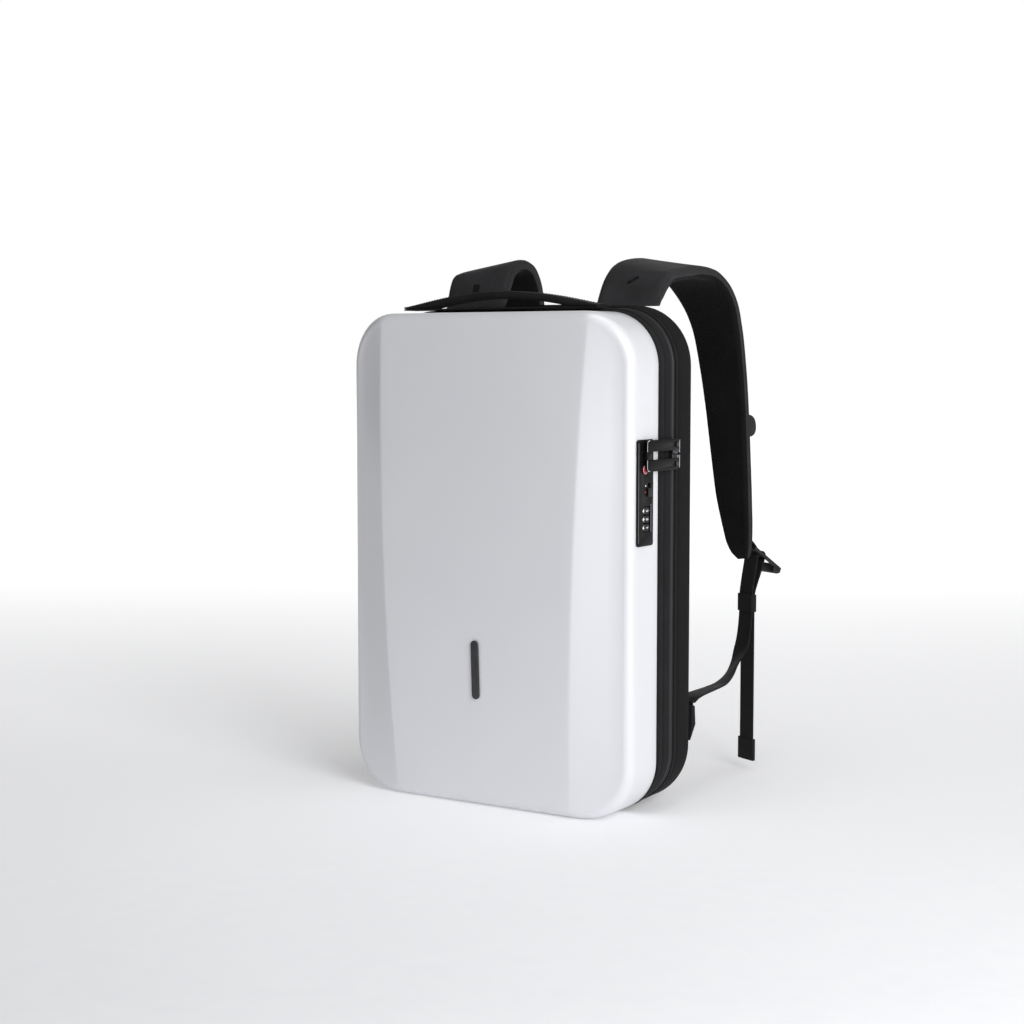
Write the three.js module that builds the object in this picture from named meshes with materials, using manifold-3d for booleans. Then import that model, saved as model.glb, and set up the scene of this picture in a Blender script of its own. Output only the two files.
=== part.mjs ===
// A hard shell backpack, standing on its base.
// Millimetres. X runs across the pack, Y from its domed front (-Y) to the wearer's back (+Y), Z up.
// The origin is on the ground, under the middle of the cloth gusset's flat bottom.

import * as THREE from 'three';
import { mergeVertices } from 'three/addons/utils/BufferGeometryUtils.js';
import Module from 'manifold-3d';

const wasm = await Module();
wasm.setup();

// Running gap between two pieces that touch on the real pack
const GAP = 0.3;

// Hard front shell
const SHELL_WIDTH = 304;
const SHELL_HEIGHT = 450;
const SHELL_CORNER = 49;
const SHELL_DEPTH = 47;
const SHELL_FILLET = 10;
const SHELL_WALL = 2.6;
const PANEL_STEP = 7.2;
const DOME_RISE = 11.6;
const CREASE_TOP = 112;
const CREASE_BOTTOM = 94;

// Cloth bands between the shell and the back case, each a depth along Y
const BAND_WALL = 2.4;
const TRIM_DEPTH = 10.5;
const GUSSET_DEPTH = 13.4;
const CHAIN_DEPTH = 6.4;
const CHAIN_RECESS = 1.2;
const TAPE_DEPTH = 4.2;

// Padded back case and back pad
const CASE_EXTRA_SIDE = 0.4;
const CASE_EXTRA_TOP = 6.5;
const CASE_CORNER = 55;
const CASE_DEPTH = 33.5;
const CASE_FILLET = 13;
const CASE_WALL = 4;
const PANEL_MARGIN = 35;
const PANEL_FOOT = 30;
const PANEL_PROUD_TOP = 2.5;
const PANEL_THICKNESS = 9;
const PANEL_CORNER = 34;
const PANEL_FILLET = 4;

// Top handle
const HANDLE_LENGTH = 214;
const HANDLE_SHIFT = -19.5;
const HANDLE_WIDTH = 21;
const HANDLE_RISE = 13.5;
const HANDLE_EASE = 1.25;
const STRIP_THICKNESS = 1.5;
const GRIP_END = 1.5;
const GRIP_MIDDLE = 6.8;

// Shoulder straps
const PAD_WIDTH = 68;
const PAD_THICKNESS = 12;
const PAD_INSET = 67;
const PAD_RISE = 44;
const PAD_DROP = 244;
const SPLAY_RIGHT = 44;
const SPLAY_LEFT = -10;
const PAD_TILT = 12;
const PAD_TURN = 13;
const PAD_SETBACK = 9.5;
const PAD_SINK = 1.2;
const REACH_RIGHT = 158;
const REACH_LEFT = 78;

// Webbing, buckles and their small parts
const WEB_WIDTH = 20;
const WEB_THICKNESS = 1.6;
const WEB_SIDE_PLAY = 1;
const WEB_BEND = 2.5;
const BUCKLE_RUN = 9.5;
const WEB_TURN = 26;
const WEB_LAYERS = 2.2;
const TAIL_END = 10;
const FOLD_LENGTH = 22;
const FOLD_EXTRA = 4;
const FOLD_THICKNESS = 4;
const BUCKLE_LENGTH = 41;
const BUCKLE_TILT = 37;
const BUCKLE_THICKNESS = 3;
const BUCKLE_FRAME = 3.4;
const BUCKLE_SET_BACK = -3.5;
const BUCKLE_SET_UP = 11.5;
const BUCKLE_BAR = 4.6;
const BUCKLE_LIP = 11;
const BUCKLE_BELLY = 11;
const UPPER_WINDOW = 8;
const BAR_SLACK = 1.6;
const KEEPER_SLACK = 0.7;
const KEEPER_BEFORE_BAR = 10.5;
const KEEPER_HEIGHT = 17;
const KEEPER_WALL = 1;
const KEEPER_DROP = 47;
const TAB_HEIGHT = 32;
const TAB_FOOT = 56;
const TAB_PROUD = 8;
const TAB_INSET = 13;
const CLIP_HEIGHT = 22;
const CLIP_PROUD = 12;
const CLIP_THICKNESS = 4;
const CLIP_INSET = 3.5;
const CLIP_DROP = 116;

// Badge on the front panel
const BADGE_LENGTH = 54;
const BADGE_WIDTH = 8;
const BADGE_THICKNESS = 1.6;
const BADGE_MIDDLE = 127;

// Lock on the +X wall
const LOCK_WIDTH = 28;
const LOCK_HEIGHT = 93.3;
const LOCK_THICKNESS = 1.5;
const LOCK_CORNER = 2.5;
const LOCK_BEHIND_RIM = 11.7;
const LOCK_BELOW_TOP = 112;
const LOCK_CASE_DEPTH = 14;
const LOCK_CASE_MARGIN = 2;
const DIAL_RADIUS = 6.5;
const DIAL_BORE = 1.9;
const DIAL_THICKNESS = 6.4;
const DIAL_PITCH = 7.4;
const DIAL_COUNT = 3;
const DIAL_PROUD = 1.1;
const DIAL_CLEARANCE = 0.6;
const DIAL_ABOVE_FOOT = 23.6;
const DIAL_OFF_MIDDLE = 2.2;
const AXLE_RADIUS = 1.4;
const BUTTON_WIDTH = 6.4;
const BUTTON_HEIGHT = 8;
const BUTTON_PROUD = 1.2;
const BUTTON_TRAVEL = 5.5;
const BUTTON_POCKET = 4;
const TONGUE_SHARE = 0.6;
const BUTTON_ABOVE_FOOT = 43;
const BUTTON_OFF_MIDDLE = 6.2;
const KEY_RADIUS = 2.5;
const KEY_RING_RADIUS = 3.9;
const KEY_ABOVE_FOOT = 67;
const KEY_OFF_MIDDLE = -1.9;
const KEY_SLOT = 0.9;
const KEY_SLOT_DEPTH = 1.5;
const KEY_BORE = 8;
const KEY_RING_THICKNESS = 0.8;

// Sliders and their pull tabs
const SLIDER_WIDTH = 9;
const SLIDER_LEAD = 4;
const SLIDER_HEIGHT = 13;
const SLIDER_THICKNESS = 3.2;
const POST_RADIUS = 1.3;
const POST_CAP_RADIUS = 2.5;
const POST_CAP = 0.9;
const PULL_HEIGHT = 10.2;
const PULL_THICKNESS = 1.6;
const PULL_REACH = 9.5;
const PULL_GAP = 7.2;
const PULL_BELOW_TOP = 0.6;
const PULL_FAR = 3.5;
const POST_BLOCK = 8.5;
const PULL_END = 4.5;

// Heights and depths that follow from the sizes above
const gussetFront = -GUSSET_DEPTH / 2;
const gussetBack = GUSSET_DEPTH / 2;
const trimBack = gussetFront - GAP;
const trimFront = trimBack - TRIM_DEPTH;
const rimY = trimFront - GAP;
const shellEdgeY = rimY - SHELL_DEPTH;
const chainFront = gussetBack + GAP;
const chainBack = chainFront + CHAIN_DEPTH;
const chainY = (chainFront + chainBack) / 2;
const tapeFront = chainBack + GAP;
const tapeBack = tapeFront + TAPE_DEPTH;
const caseFront = tapeBack + GAP;
const caseBack = caseFront + CASE_DEPTH;
const caseTop = SHELL_HEIGHT + CASE_EXTRA_TOP;

const shellOutline = { half: SHELL_WIDTH / 2, foot: 0, top: SHELL_HEIGHT, corner: SHELL_CORNER };
const caseOutline = {
  half: SHELL_WIDTH / 2 + CASE_EXTRA_SIDE,
  foot: 0,
  top: caseTop,
  corner: CASE_CORNER,
};

const looks = {
  shell: { color: 0xd9dbe2, roughness: 0.32, metalness: 0.1 },
  badge: { color: 0x3a3b3e, roughness: 0.35, metalness: 0.9 },
  cloth: { color: 0x1c1c1f, roughness: 0.85, metalness: 0 },
  zipper: { color: 0x141416, roughness: 0.6, metalness: 0 },
  pad: { color: 0x252528, roughness: 0.9, metalness: 0 },
  web: { color: 0x17171a, roughness: 0.8, metalness: 0 },
  plastic: { color: 0x111113, roughness: 0.4, metalness: 0 },
  lock: { color: 0x161618, roughness: 0.3, metalness: 0.2 },
  metal: { color: 0x2a2b2d, roughness: 0.3, metalness: 0.9 },
  red: { color: 0xb0182b, roughness: 0.4, metalness: 0 },
};

const pack = new THREE.Group();

// Small helpers

function addPiece(name, geometry, look) {
  const mesh = new THREE.Mesh(geometry, new THREE.MeshStandardMaterial(looks[look]));
  mesh.name = name;
  pack.add(mesh);
  return mesh;
}

function mix(a, b, share) {
  return a + (b - a) * share;
}

function mixOutline(share, inset = 0) {
  const outline = {};
  for (const key of ['half', 'foot', 'top', 'corner']) {
    outline[key] = mix(shellOutline[key], caseOutline[key], share);
  }
  return insetOutline(outline, inset);
}

function insetOutline(outline, inset) {
  return {
    half: outline.half - inset,
    foot: outline.foot + inset,
    top: outline.top - inset,
    corner: outline.corner - inset,
  };
}

// A closed body from points and triangles, turned inside out if its volume comes out negative
function closedBody(points, faces) {
  let volume = 0;
  for (const [a, b, c] of faces) {
    const [p, q, r] = [points[a], points[b], points[c]];
    volume += p.dot(new THREE.Vector3().crossVectors(q, r));
  }
  const index = faces.flatMap(([a, b, c]) => (volume > 0 ? [a, b, c] : [a, c, b]));
  const geometry = new THREE.BufferGeometry();
  const flat = points.flatMap((p) => [p.x, p.y, p.z]);
  geometry.setAttribute('position', new THREE.Float32BufferAttribute(flat, 3));
  geometry.setIndex(index);
  return geometry;
}

function quad(faces, a, b, c, d) {
  faces.push([a, b, c], [a, c, d]);
}

// Solid modelling: three.js geometry in, one cut or joined three.js geometry out

function toSolid(geometry) {
  const bare = geometry.clone();
  bare.deleteAttribute('normal');
  bare.deleteAttribute('uv');
  const merged = mergeVertices(bare, 1e-3);
  return new wasm.Manifold(new wasm.Mesh({
    numProp: 3,
    vertProperties: new Float32Array(merged.attributes.position.array),
    triVerts: new Uint32Array(merged.index.array),
  }));
}

function toGeometry(solid) {
  const mesh = solid.getMesh();
  const geometry = new THREE.BufferGeometry();
  geometry.setAttribute('position', new THREE.BufferAttribute(new Float32Array(mesh.vertProperties), 3));
  geometry.setIndex(new THREE.BufferAttribute(new Uint32Array(mesh.triVerts), 1));
  return geometry;
}

function cut(geometry, ...tools) {
  return toGeometry(tools.reduce((solid, tool) => solid.subtract(toSolid(tool)), toSolid(geometry)));
}

function join(...geometries) {
  return toGeometry(geometries.map(toSolid).reduce((whole, solid) => whole.add(solid)));
}

// Boxes and discs on the lock's wall: from and to are [x, y, z] corners
function boxBetween(from, to) {
  const size = from.map((value, axis) => Math.abs(to[axis] - value));
  const middle = from.map((value, axis) => (to[axis] + value) / 2);
  return new THREE.BoxGeometry(...size).translate(...middle);
}

function discAlongX(radius, fromX, toX, y, z, sides = 24) {
  return new THREE.CylinderGeometry(radius, radius, toX - fromX, sides)
    .rotateZ(Math.PI / 2)
    .translate((fromX + toX) / 2, y, z);
}

function discAlongZ(radius, x, y, fromZ, toZ, sides = 28) {
  return new THREE.CylinderGeometry(radius, radius, toZ - fromZ, sides)
    .rotateX(Math.PI / 2)
    .translate(x, y, (fromZ + toZ) / 2);
}

// Rounded rectangle as a shape in its own plane
function roundedShape(width, height, radius) {
  const [w, h] = [width / 2, height / 2];
  const shape = new THREE.Shape();
  shape.absarc(w - radius, -h + radius, radius, -Math.PI / 2, 0);
  shape.absarc(w - radius, h - radius, radius, 0, Math.PI / 2);
  shape.absarc(-w + radius, h - radius, radius, Math.PI / 2, Math.PI);
  shape.absarc(-w + radius, -h + radius, radius, Math.PI, Math.PI * 1.5);
  shape.closePath();
  return shape;
}

function flatExtrude(shape, depth, curveSegments = 5) {
  return new THREE.ExtrudeGeometry(shape, { depth, bevelEnabled: false, curveSegments });
}

// Trays and bands that follow the pack's rounded outline

const CORNER_STEPS = 7;
const SIDE_STEPS = 8;
const FILLET_STEPS = 4;

// Stations up the +X side: an anchor on the outline's core and the outward direction
function sideStations(outline) {
  const stations = [];
  const x = outline.half - outline.corner;
  const low = outline.foot + outline.corner;
  const high = outline.top - outline.corner;
  for (let i = 0; i <= CORNER_STEPS; i += 1) {
    const angle = (-Math.PI / 2) * (1 - i / CORNER_STEPS);
    stations.push({ x, z: low, nx: Math.cos(angle), nz: Math.sin(angle) });
  }
  for (let i = 1; i < SIDE_STEPS; i += 1) {
    stations.push({ x, z: mix(low, high, i / SIDE_STEPS), nx: 1, nz: 0 });
  }
  for (let i = 0; i <= CORNER_STEPS; i += 1) {
    const angle = (Math.PI / 2) * (i / CORNER_STEPS);
    stations.push({ x, z: high, nx: Math.cos(angle), nz: Math.sin(angle) });
  }
  return stations;
}

function stationPoint(outline, station, inset, y) {
  const reach = outline.corner - inset;
  return new THREE.Vector3(station.x + station.nx * reach, y, station.z + station.nz * reach);
}

// One skin of a tray: a face grid whose edge rolls over the fillet into the wall.
// Depth is measured from the face towards the rim. Returns the rim's point numbers in order.
function addSkin(points, faces, tray, offset) {
  const outline = insetOutline(tray.outline, offset);
  const fillet = tray.fillet - offset * tray.filletShare;
  const stations = sideStations(outline);
  const place = (x, depth, z) => points.push(new THREE.Vector3(x, tray.faceY + tray.towards * depth, z)) - 1;
  const put = (a, b, c, d) => (offset > 0 ? quad(faces, d, c, b, a) : quad(faces, a, b, c, d));

  const grid = stations.map((station) => {
    const end = stationPoint(outline, station, fillet, 0);
    return tray.columns(end.x, end.z).map((x) => {
      const depth = tray.depthAt(x, end.z) + offset;
      return { id: place(x, depth, end.z), x, depth, station };
    });
  });
  for (let i = 0; i + 1 < grid.length; i += 1) {
    for (let j = 0; j + 1 < grid[i].length; j += 1) {
      put(grid[i][j].id, grid[i][j + 1].id, grid[i + 1][j + 1].id, grid[i + 1][j].id);
    }
  }

  const edge = [];
  const last = grid.length - 1;
  const flat = (spot, nz) => edge.push({ ...spot, station: { x: spot.x, z: spot.station.z, nx: 0, nz } });
  grid[0].forEach((spot) => flat(spot, -1));
  for (let i = 1; i < last; i += 1) edge.push(grid[i][grid[i].length - 1]);
  [...grid[last]].reverse().forEach((spot) => flat(spot, 1));
  for (let i = last - 1; i > 0; i -= 1) {
    const spot = grid[i][0];
    edge.push({ ...spot, station: { ...spot.station, x: -spot.station.x, nx: -spot.station.nx } });
  }

  let loop = edge.map((spot) => spot.id);
  for (let k = 1; k <= FILLET_STEPS + 1; k += 1) {
    const angle = (Math.PI / 2) * Math.min(k / FILLET_STEPS, 1);
    const next = edge.map((spot) => {
      const rolled = spot.depth + fillet * (1 - Math.cos(angle));
      const depth = k > FILLET_STEPS ? tray.rimDepth : rolled;
      const p = stationPoint(outline, spot.station, fillet * (1 - Math.sin(angle)), 0);
      return place(p.x, depth, p.z);
    });
    const before = loop;
    next.forEach((id, m) => {
      const after = (m + 1) % next.length;
      put(before[m], id, next[after], before[after]);
    });
    loop = next;
  }
  return loop;
}

function trayGeometry(tray) {
  const points = [];
  const faces = [];
  const outer = addSkin(points, faces, tray, 0);
  const inner = addSkin(points, faces, tray, tray.wall);
  outer.forEach((id, m) => {
    const after = (m + 1) % outer.length;
    quad(faces, id, inner[m], inner[after], outer[after]);
  });
  return closedBody(points, faces);
}

// A band all round the outline. The section is a closed list of [inset, y].
function bandGeometry(outline, section) {
  const stations = sideStations(outline);
  const fromTop = stations.length - 1 - CORNER_STEPS;
  const right = stations.filter((station, i) => i <= CORNER_STEPS || i >= fromTop);
  const left = [...right].reverse().map((station) => ({ ...station, x: -station.x, nx: -station.nx }));
  const around = [...right, ...left];
  const points = [];
  const faces = [];
  for (const station of around) {
    for (const [inset, y] of section) points.push(stationPoint(outline, station, inset, y));
  }
  const count = section.length;
  around.forEach((station, m) => {
    const after = (m + 1) % around.length;
    for (let p = 0; p < count; p += 1) {
      const q = (p + 1) % count;
      quad(faces, m * count + p, after * count + p, after * count + q, m * count + q);
    }
  });
  return closedBody(points, faces);
}

// Straps: sections along a route, skinned and capped

// A flat section, across and up being unit vectors. With edge steps its long edges are rounded.
function strapSection(centre, across, up, width, thickness, edgeSteps = 0) {
  const corner = edgeSteps > 0 ? Math.min(thickness, width) * 0.49 : 0;
  const ring = [];
  for (const [sx, sy, start] of [[1, -1, -90], [1, 1, 0], [-1, 1, 90], [-1, -1, 180]]) {
    for (let i = 0; i <= edgeSteps; i += 1) {
      const angle = THREE.MathUtils.degToRad(start + (90 * i) / Math.max(edgeSteps, 1));
      const x = sx * (width / 2 - corner) + corner * Math.cos(angle);
      const y = sy * (thickness / 2 - corner) + corner * Math.sin(angle);
      ring.push(centre.clone().addScaledVector(across, x).addScaledVector(up, y));
    }
  }
  return ring;
}

function loft(rings) {
  const points = rings.flat();
  const count = rings[0].length;
  const faces = [];
  for (let i = 0; i + 1 < rings.length; i += 1) {
    for (let p = 0; p < count; p += 1) {
      const q = (p + 1) % count;
      quad(faces, i * count + p, i * count + q, (i + 1) * count + q, (i + 1) * count + p);
    }
  }
  const top = (rings.length - 1) * count;
  for (let p = 1; p + 1 < count; p += 1) {
    faces.push([0, p + 1, p]);
    faces.push([top, top + p, top + p + 1]);
  }
  return closedBody(points, faces);
}

// A strap along a smooth route. Each row of the route has a point and the strap's width direction.
function strapAlong(rows, steps, width, thicknessAt) {
  const route = new THREE.CatmullRomCurve3(rows.map((row) => row.point), false, 'centripetal');
  const sides = new THREE.CatmullRomCurve3(rows.map((row) => row.across), false, 'centripetal');
  const rings = [];
  for (let i = 0; i <= steps; i += 1) {
    const t = i / steps;
    const tangent = route.getTangent(t);
    const across = sides.getPoint(t).projectOnPlane(tangent).normalize();
    const up = new THREE.Vector3().crossVectors(tangent, across);
    rings.push(strapSection(route.getPoint(t), across, up, width, thicknessAt(t)));
  }
  return loft(rings);
}

// Front shell

function creaseAt(z) {
  return mix(CREASE_BOTTOM, CREASE_TOP, z / SHELL_HEIGHT);
}

// How far the middle panel stands in front of the side edge, by height
function domeAt(z) {
  const fromMiddle = z / (SHELL_HEIGHT / 2) - 1;
  return PANEL_STEP + DOME_RISE * (1 - fromMiddle * fromMiddle);
}

function shellDepthAt(x, z) {
  const facetEnd = SHELL_WIDTH / 2 - SHELL_FILLET;
  const crease = creaseAt(z);
  const past = (Math.abs(x) - crease) / (facetEnd - crease);
  return -domeAt(z) * (1 - Math.max(past, 0));
}

// Columns that keep one line of points on each crease
function shellColumns(end, z) {
  const least = 0.5;
  const crease = Math.min(creaseAt(z), end - least);
  const shares = [-1, -0.5, 0, 0.5, 1];
  return [-end, ...shares.map((share) => share * crease), end];
}

function frontShell() {
  const shell = trayGeometry({
    outline: shellOutline,
    wall: SHELL_WALL,
    fillet: SHELL_FILLET,
    filletShare: 1,
    faceY: shellEdgeY,
    towards: 1,
    rimDepth: SHELL_DEPTH,
    depthAt: shellDepthAt,
    columns: shellColumns,
  });
  const hole = boxBetween(
    [lock.innerX - GAP, lock.caseFrontY - GAP, lock.caseFoot - GAP],
    [lock.faceX, lock.caseBackY + GAP, lock.caseTop + GAP],
  );
  addPiece('front_shell', cut(shell, hole), 'shell');
}

function badge() {
  const halfHeight = SHELL_HEIGHT / 2;
  const slope = Math.atan((2 * DOME_RISE * (1 - BADGE_MIDDLE / halfHeight)) / halfHeight);
  const shape = roundedShape(BADGE_WIDTH, BADGE_LENGTH, BADGE_WIDTH * 0.49);
  const geometry = flatExtrude(shape, BADGE_THICKNESS);
  const mesh = addPiece('badge', geometry, 'badge');
  mesh.rotation.x = Math.PI / 2 + slope;
  mesh.position.set(0, shellEdgeY - domeAt(BADGE_MIDDLE) - GAP, BADGE_MIDDLE);
}

// Cloth bands

function bands() {
  const rounded = (front, back, wall, bulge) => [
    [0, front],
    [-bulge, mix(front, back, 0.3)],
    [-bulge, mix(front, back, 0.7)],
    [0, back],
    [wall, back],
    [wall, front],
  ];
  const flat = (front, back, wall) => [[0, front], [0, back], [wall, back], [wall, front]];
  const trimBulge = 0.5;
  const trim = mixOutline(0.15, trimBulge);
  addPiece('front_trim', bandGeometry(trim, rounded(trimFront, trimBack, BAND_WALL, trimBulge)), 'cloth');
  addPiece('gusset', bandGeometry(mixOutline(0.5), flat(gussetFront, gussetBack, BAND_WALL)), 'cloth');
  const chain = mixOutline(0.7, CHAIN_RECESS);
  addPiece('zipper_chain', bandGeometry(chain, flat(chainFront, chainBack, BAND_WALL)), 'zipper');
  addPiece('zipper_tape', bandGeometry(mixOutline(0.85), flat(tapeFront, tapeBack, BAND_WALL)), 'cloth');
}

// Back case and back pad

function plainColumns(end) {
  return [-1, -0.5, 0, 0.5, 1].map((share) => share * end);
}

function backCase() {
  const geometry = trayGeometry({
    outline: caseOutline,
    wall: CASE_WALL,
    fillet: CASE_FILLET,
    filletShare: 0.5,
    faceY: caseBack,
    towards: -1,
    rimDepth: CASE_DEPTH,
    depthAt: () => 0,
    columns: plainColumns,
  });
  addPiece('back_case', geometry, 'cloth');
}

function backPanel() {
  const width = SHELL_WIDTH - 2 * PANEL_MARGIN;
  const height = caseTop + PANEL_PROUD_TOP - PANEL_FOOT;
  const margin = 2 * PANEL_FILLET;
  const shape = roundedShape(width - margin, height - margin, PANEL_CORNER - PANEL_FILLET);
  const geometry = new THREE.ExtrudeGeometry(shape, {
    depth: PANEL_THICKNESS - 2 * PANEL_FILLET,
    bevelThickness: PANEL_FILLET,
    bevelSize: PANEL_FILLET,
    bevelSegments: 2,
    curveSegments: 6,
  });
  const mesh = addPiece('back_panel', geometry, 'pad');
  mesh.rotation.x = Math.PI / 2;
  mesh.position.set(0, caseBack + GAP + PANEL_THICKNESS - PANEL_FILLET, PANEL_FOOT + height / 2);
}

// Top handle

const handle = {
  y: (trimFront + gussetBack) / 2,
  seat: mixOutline(0.5).top + GAP,
};

function handlePieces() {
  const across = new THREE.Vector3(0, 1, 0);
  const up = new THREE.Vector3(0, 0, 1);
  const half = HANDLE_LENGTH / 2;
  const baseZ = handle.seat + STRIP_THICKNESS / 2;
  const strip = [-1, 1].map((side) => {
    const centre = new THREE.Vector3(HANDLE_SHIFT + side * half, handle.y, baseZ);
    return strapSection(centre, across, up, HANDLE_WIDTH, STRIP_THICKNESS);
  });
  addPiece('handle_base', loft(strip), 'web');

  const steps = 14;
  const endTop = handle.seat + STRIP_THICKNESS + GAP + GRIP_END;
  const rings = [];
  for (let i = 0; i <= steps; i += 1) {
    const u = -1 + (2 * i) / steps;
    const arch = 1 - u * u;
    const rise = HANDLE_RISE * arch ** HANDLE_EASE;
    const thickness = Math.min(GRIP_MIDDLE, GRIP_END + rise);
    const slope = Math.atan((-2 * u * HANDLE_RISE * HANDLE_EASE * arch ** (HANDLE_EASE - 1)) / half);
    const top = new THREE.Vector3(HANDLE_SHIFT + u * half, handle.y, endTop + rise);
    const tilted = Math.abs(u) === 1 ? up : new THREE.Vector3(-Math.sin(slope), 0, Math.cos(slope));
    const centre = top.addScaledVector(tilted, -thickness / 2);
    rings.push(strapSection(centre, across, tilted, HANDLE_WIDTH, thickness, 2));
  }
  addPiece('handle_grip', loft(rings), 'web');
}

// Shoulder straps. Rows are sections from the root over the crest to the rounded end, as shares:
// back of the strap's reach, up of its rise, down of its drop, splay of its splay,
// wide of its width, thick of its thickness, tilt and turn of its outer edge's fall and lead.
const PAD_ROWS = [
  { back: 0.0, up: 0.01, down: 0, splay: 0.0, wide: 0.97, thick: 0.34, tilt: 0.0, turn: 0.0 },
  { back: 0.035, up: 0.24, down: 0, splay: -0.02, wide: 0.98, thick: 0.7, tilt: 0.15, turn: 0.1 },
  { back: 0.095, up: 0.56, down: 0, splay: -0.02, wide: 1.0, thick: 0.9, tilt: 0.25, turn: 0.1 },
  { back: 0.155, up: 0.77, down: 0, splay: -0.01, wide: 1.0, thick: 1.0, tilt: 0.4, turn: 0.1 },
  { back: 0.24, up: 0.89, down: 0, splay: 0.0, wide: 1.0, thick: 1.0, tilt: 0.8, turn: 0.15 },
  { back: 0.4, up: 0.98, down: 0, splay: 0.02, wide: 1.0, thick: 1.0, tilt: 1.0, turn: 0.3 },
  { back: 0.53, up: 1.0, down: 0, splay: 0.07, wide: 1.0, thick: 1.0, tilt: 0.8, turn: 0.2 },
  { back: 0.69, up: 0.9, down: 0, splay: 0.15, wide: 0.99, thick: 1.0, tilt: 0.6, turn: 0.3 },
  { back: 0.83, up: 0.58, down: 0, splay: 0.24, wide: 0.96, thick: 1.0, tilt: 0.35, turn: 0.5 },
  { back: 0.92, up: 0.14, down: 0, splay: 0.34, wide: 0.89, thick: 1.0, tilt: 0.25, turn: 0.6 },
  { back: 0.965, up: 0, down: 0.07, splay: 0.43, wide: 0.82, thick: 1.0, tilt: 0.1, turn: 0.8 },
  { back: 0.98, up: 0, down: 0.235, splay: 0.56, wide: 0.76, thick: 1.0, tilt: 0.0, turn: 0.8 },
  { back: 0.985, up: 0, down: 0.38, splay: 0.65, wide: 0.71, thick: 1.0, tilt: 0.0, turn: 0.75 },
  { back: 0.985, up: 0, down: 0.565, splay: 0.75, wide: 0.65, thick: 1.0, tilt: 0.0, turn: 0.7 },
  { back: 0.995, up: 0, down: 0.73, splay: 0.83, wide: 0.6, thick: 1.0, tilt: -0.1, turn: 0.85 },
  { back: 1.0, up: 0, down: 0.85, splay: 0.92, wide: 0.52, thick: 0.97, tilt: -0.15, turn: 1.0 },
  { back: 1.005, up: 0, down: 0.925, splay: 0.96, wide: 0.44, thick: 0.88, tilt: -0.15, turn: 0.9 },
  { back: 1.008, up: 0, down: 0.97, splay: 1.0, wide: 0.34, thick: 0.72, tilt: -0.15, turn: 0.8 },
  { back: 1.01, up: 0, down: 1.0, splay: 1.03, wide: 0.2, thick: 0.45, tilt: -0.1, turn: 0.6 },
];

const PAD_EDGE_STEPS = 3;

// Sections of one shoulder pad: side is 1 for +X and -1 for -X, reach its spread behind the pack.
// The rows give the face that looks away from the wearer, and the pad lies on its inner side.
function padRings(side, reach, splay) {
  const rootY = caseBack - PAD_SETBACK;
  const rootZ = caseTop - PAD_SINK + GAP;
  const spots = PAD_ROWS.map((row) => {
    const middle = new THREE.Vector3(
      side * (SHELL_WIDTH / 2 - PAD_INSET + splay * row.splay),
      rootY + reach * row.back,
      rootZ + PAD_RISE * row.up - PAD_DROP * row.down,
    );
    const across = new THREE.Vector3(side * PAD_WIDTH * row.wide, -PAD_TURN * row.turn, -PAD_TILT * row.tilt);
    return { middle, across, width: across.length(), thickness: PAD_THICKNESS * row.thick };
  });
  const route = new THREE.CatmullRomCurve3(spots.map((spot) => spot.middle), false, 'centripetal');
  return spots.map((spot, i) => {
    const tangent = i === 0 ? new THREE.Vector3(0, 0, 1) : route.getTangent(i / (spots.length - 1));
    const across = spot.across.clone().projectOnPlane(tangent).normalize();
    const inward = new THREE.Vector3().crossVectors(tangent, across).multiplyScalar(side);
    const centre = spot.middle.clone().addScaledVector(inward, spot.thickness / 2);
    const ring = strapSection(centre, across, inward, spot.width, spot.thickness, PAD_EDGE_STEPS);
    return { centre, across, inward, tangent, ring };
  });
}

// The vertical plane in which one side's buckle, keeper and webbing hang below the pad's end
function hangFrame(side, reach, splay) {
  const rings = padRings(side, reach, splay);
  const end = rings[rings.length - 1];
  const turn = THREE.MathUtils.degToRad(WEB_TURN);
  const across = new THREE.Vector3(side * Math.cos(turn), -Math.sin(turn), 0);
  const back = new THREE.Vector3(side * Math.sin(turn), Math.cos(turn), 0);
  const at = (behind, below) => end.centre.clone().addScaledVector(back, behind).setZ(end.centre.z - below);
  return { side, rings, end, across, back, at };
}

function shoulderPad(name, hang) {
  addPiece(`shoulder_pad_${name}`, loft(hang.rings.map((section) => section.ring)), 'pad');
}

// Buckle frame: long runs down and back, out is its outer face's direction
function buckleFrame(hang) {
  const tilt = THREE.MathUtils.degToRad(BUCKLE_TILT);
  const long = hang.back.clone().multiplyScalar(Math.cos(tilt)).setZ(-Math.sin(tilt));
  const out = hang.back.clone().multiplyScalar(Math.sin(tilt)).setZ(Math.cos(tilt));
  const head = hang.end.centre.clone()
    .addScaledVector(long, BUCKLE_SET_BACK)
    .addScaledVector(out, BUCKLE_SET_UP);
  const at = (along, proud) => head.clone().addScaledVector(long, along).addScaledVector(out, proud);
  return { long, out, head, at };
}

const buckle = {
  upperFrom: BUCKLE_FRAME,
  barFrom: BUCKLE_FRAME + UPPER_WINDOW,
  barTo: BUCKLE_FRAME + UPPER_WINDOW + BUCKLE_BAR,
  barMiddle: BUCKLE_FRAME + UPPER_WINDOW + BUCKLE_BAR / 2,
  lowerTo: BUCKLE_LENGTH - BUCKLE_LIP,
};

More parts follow.
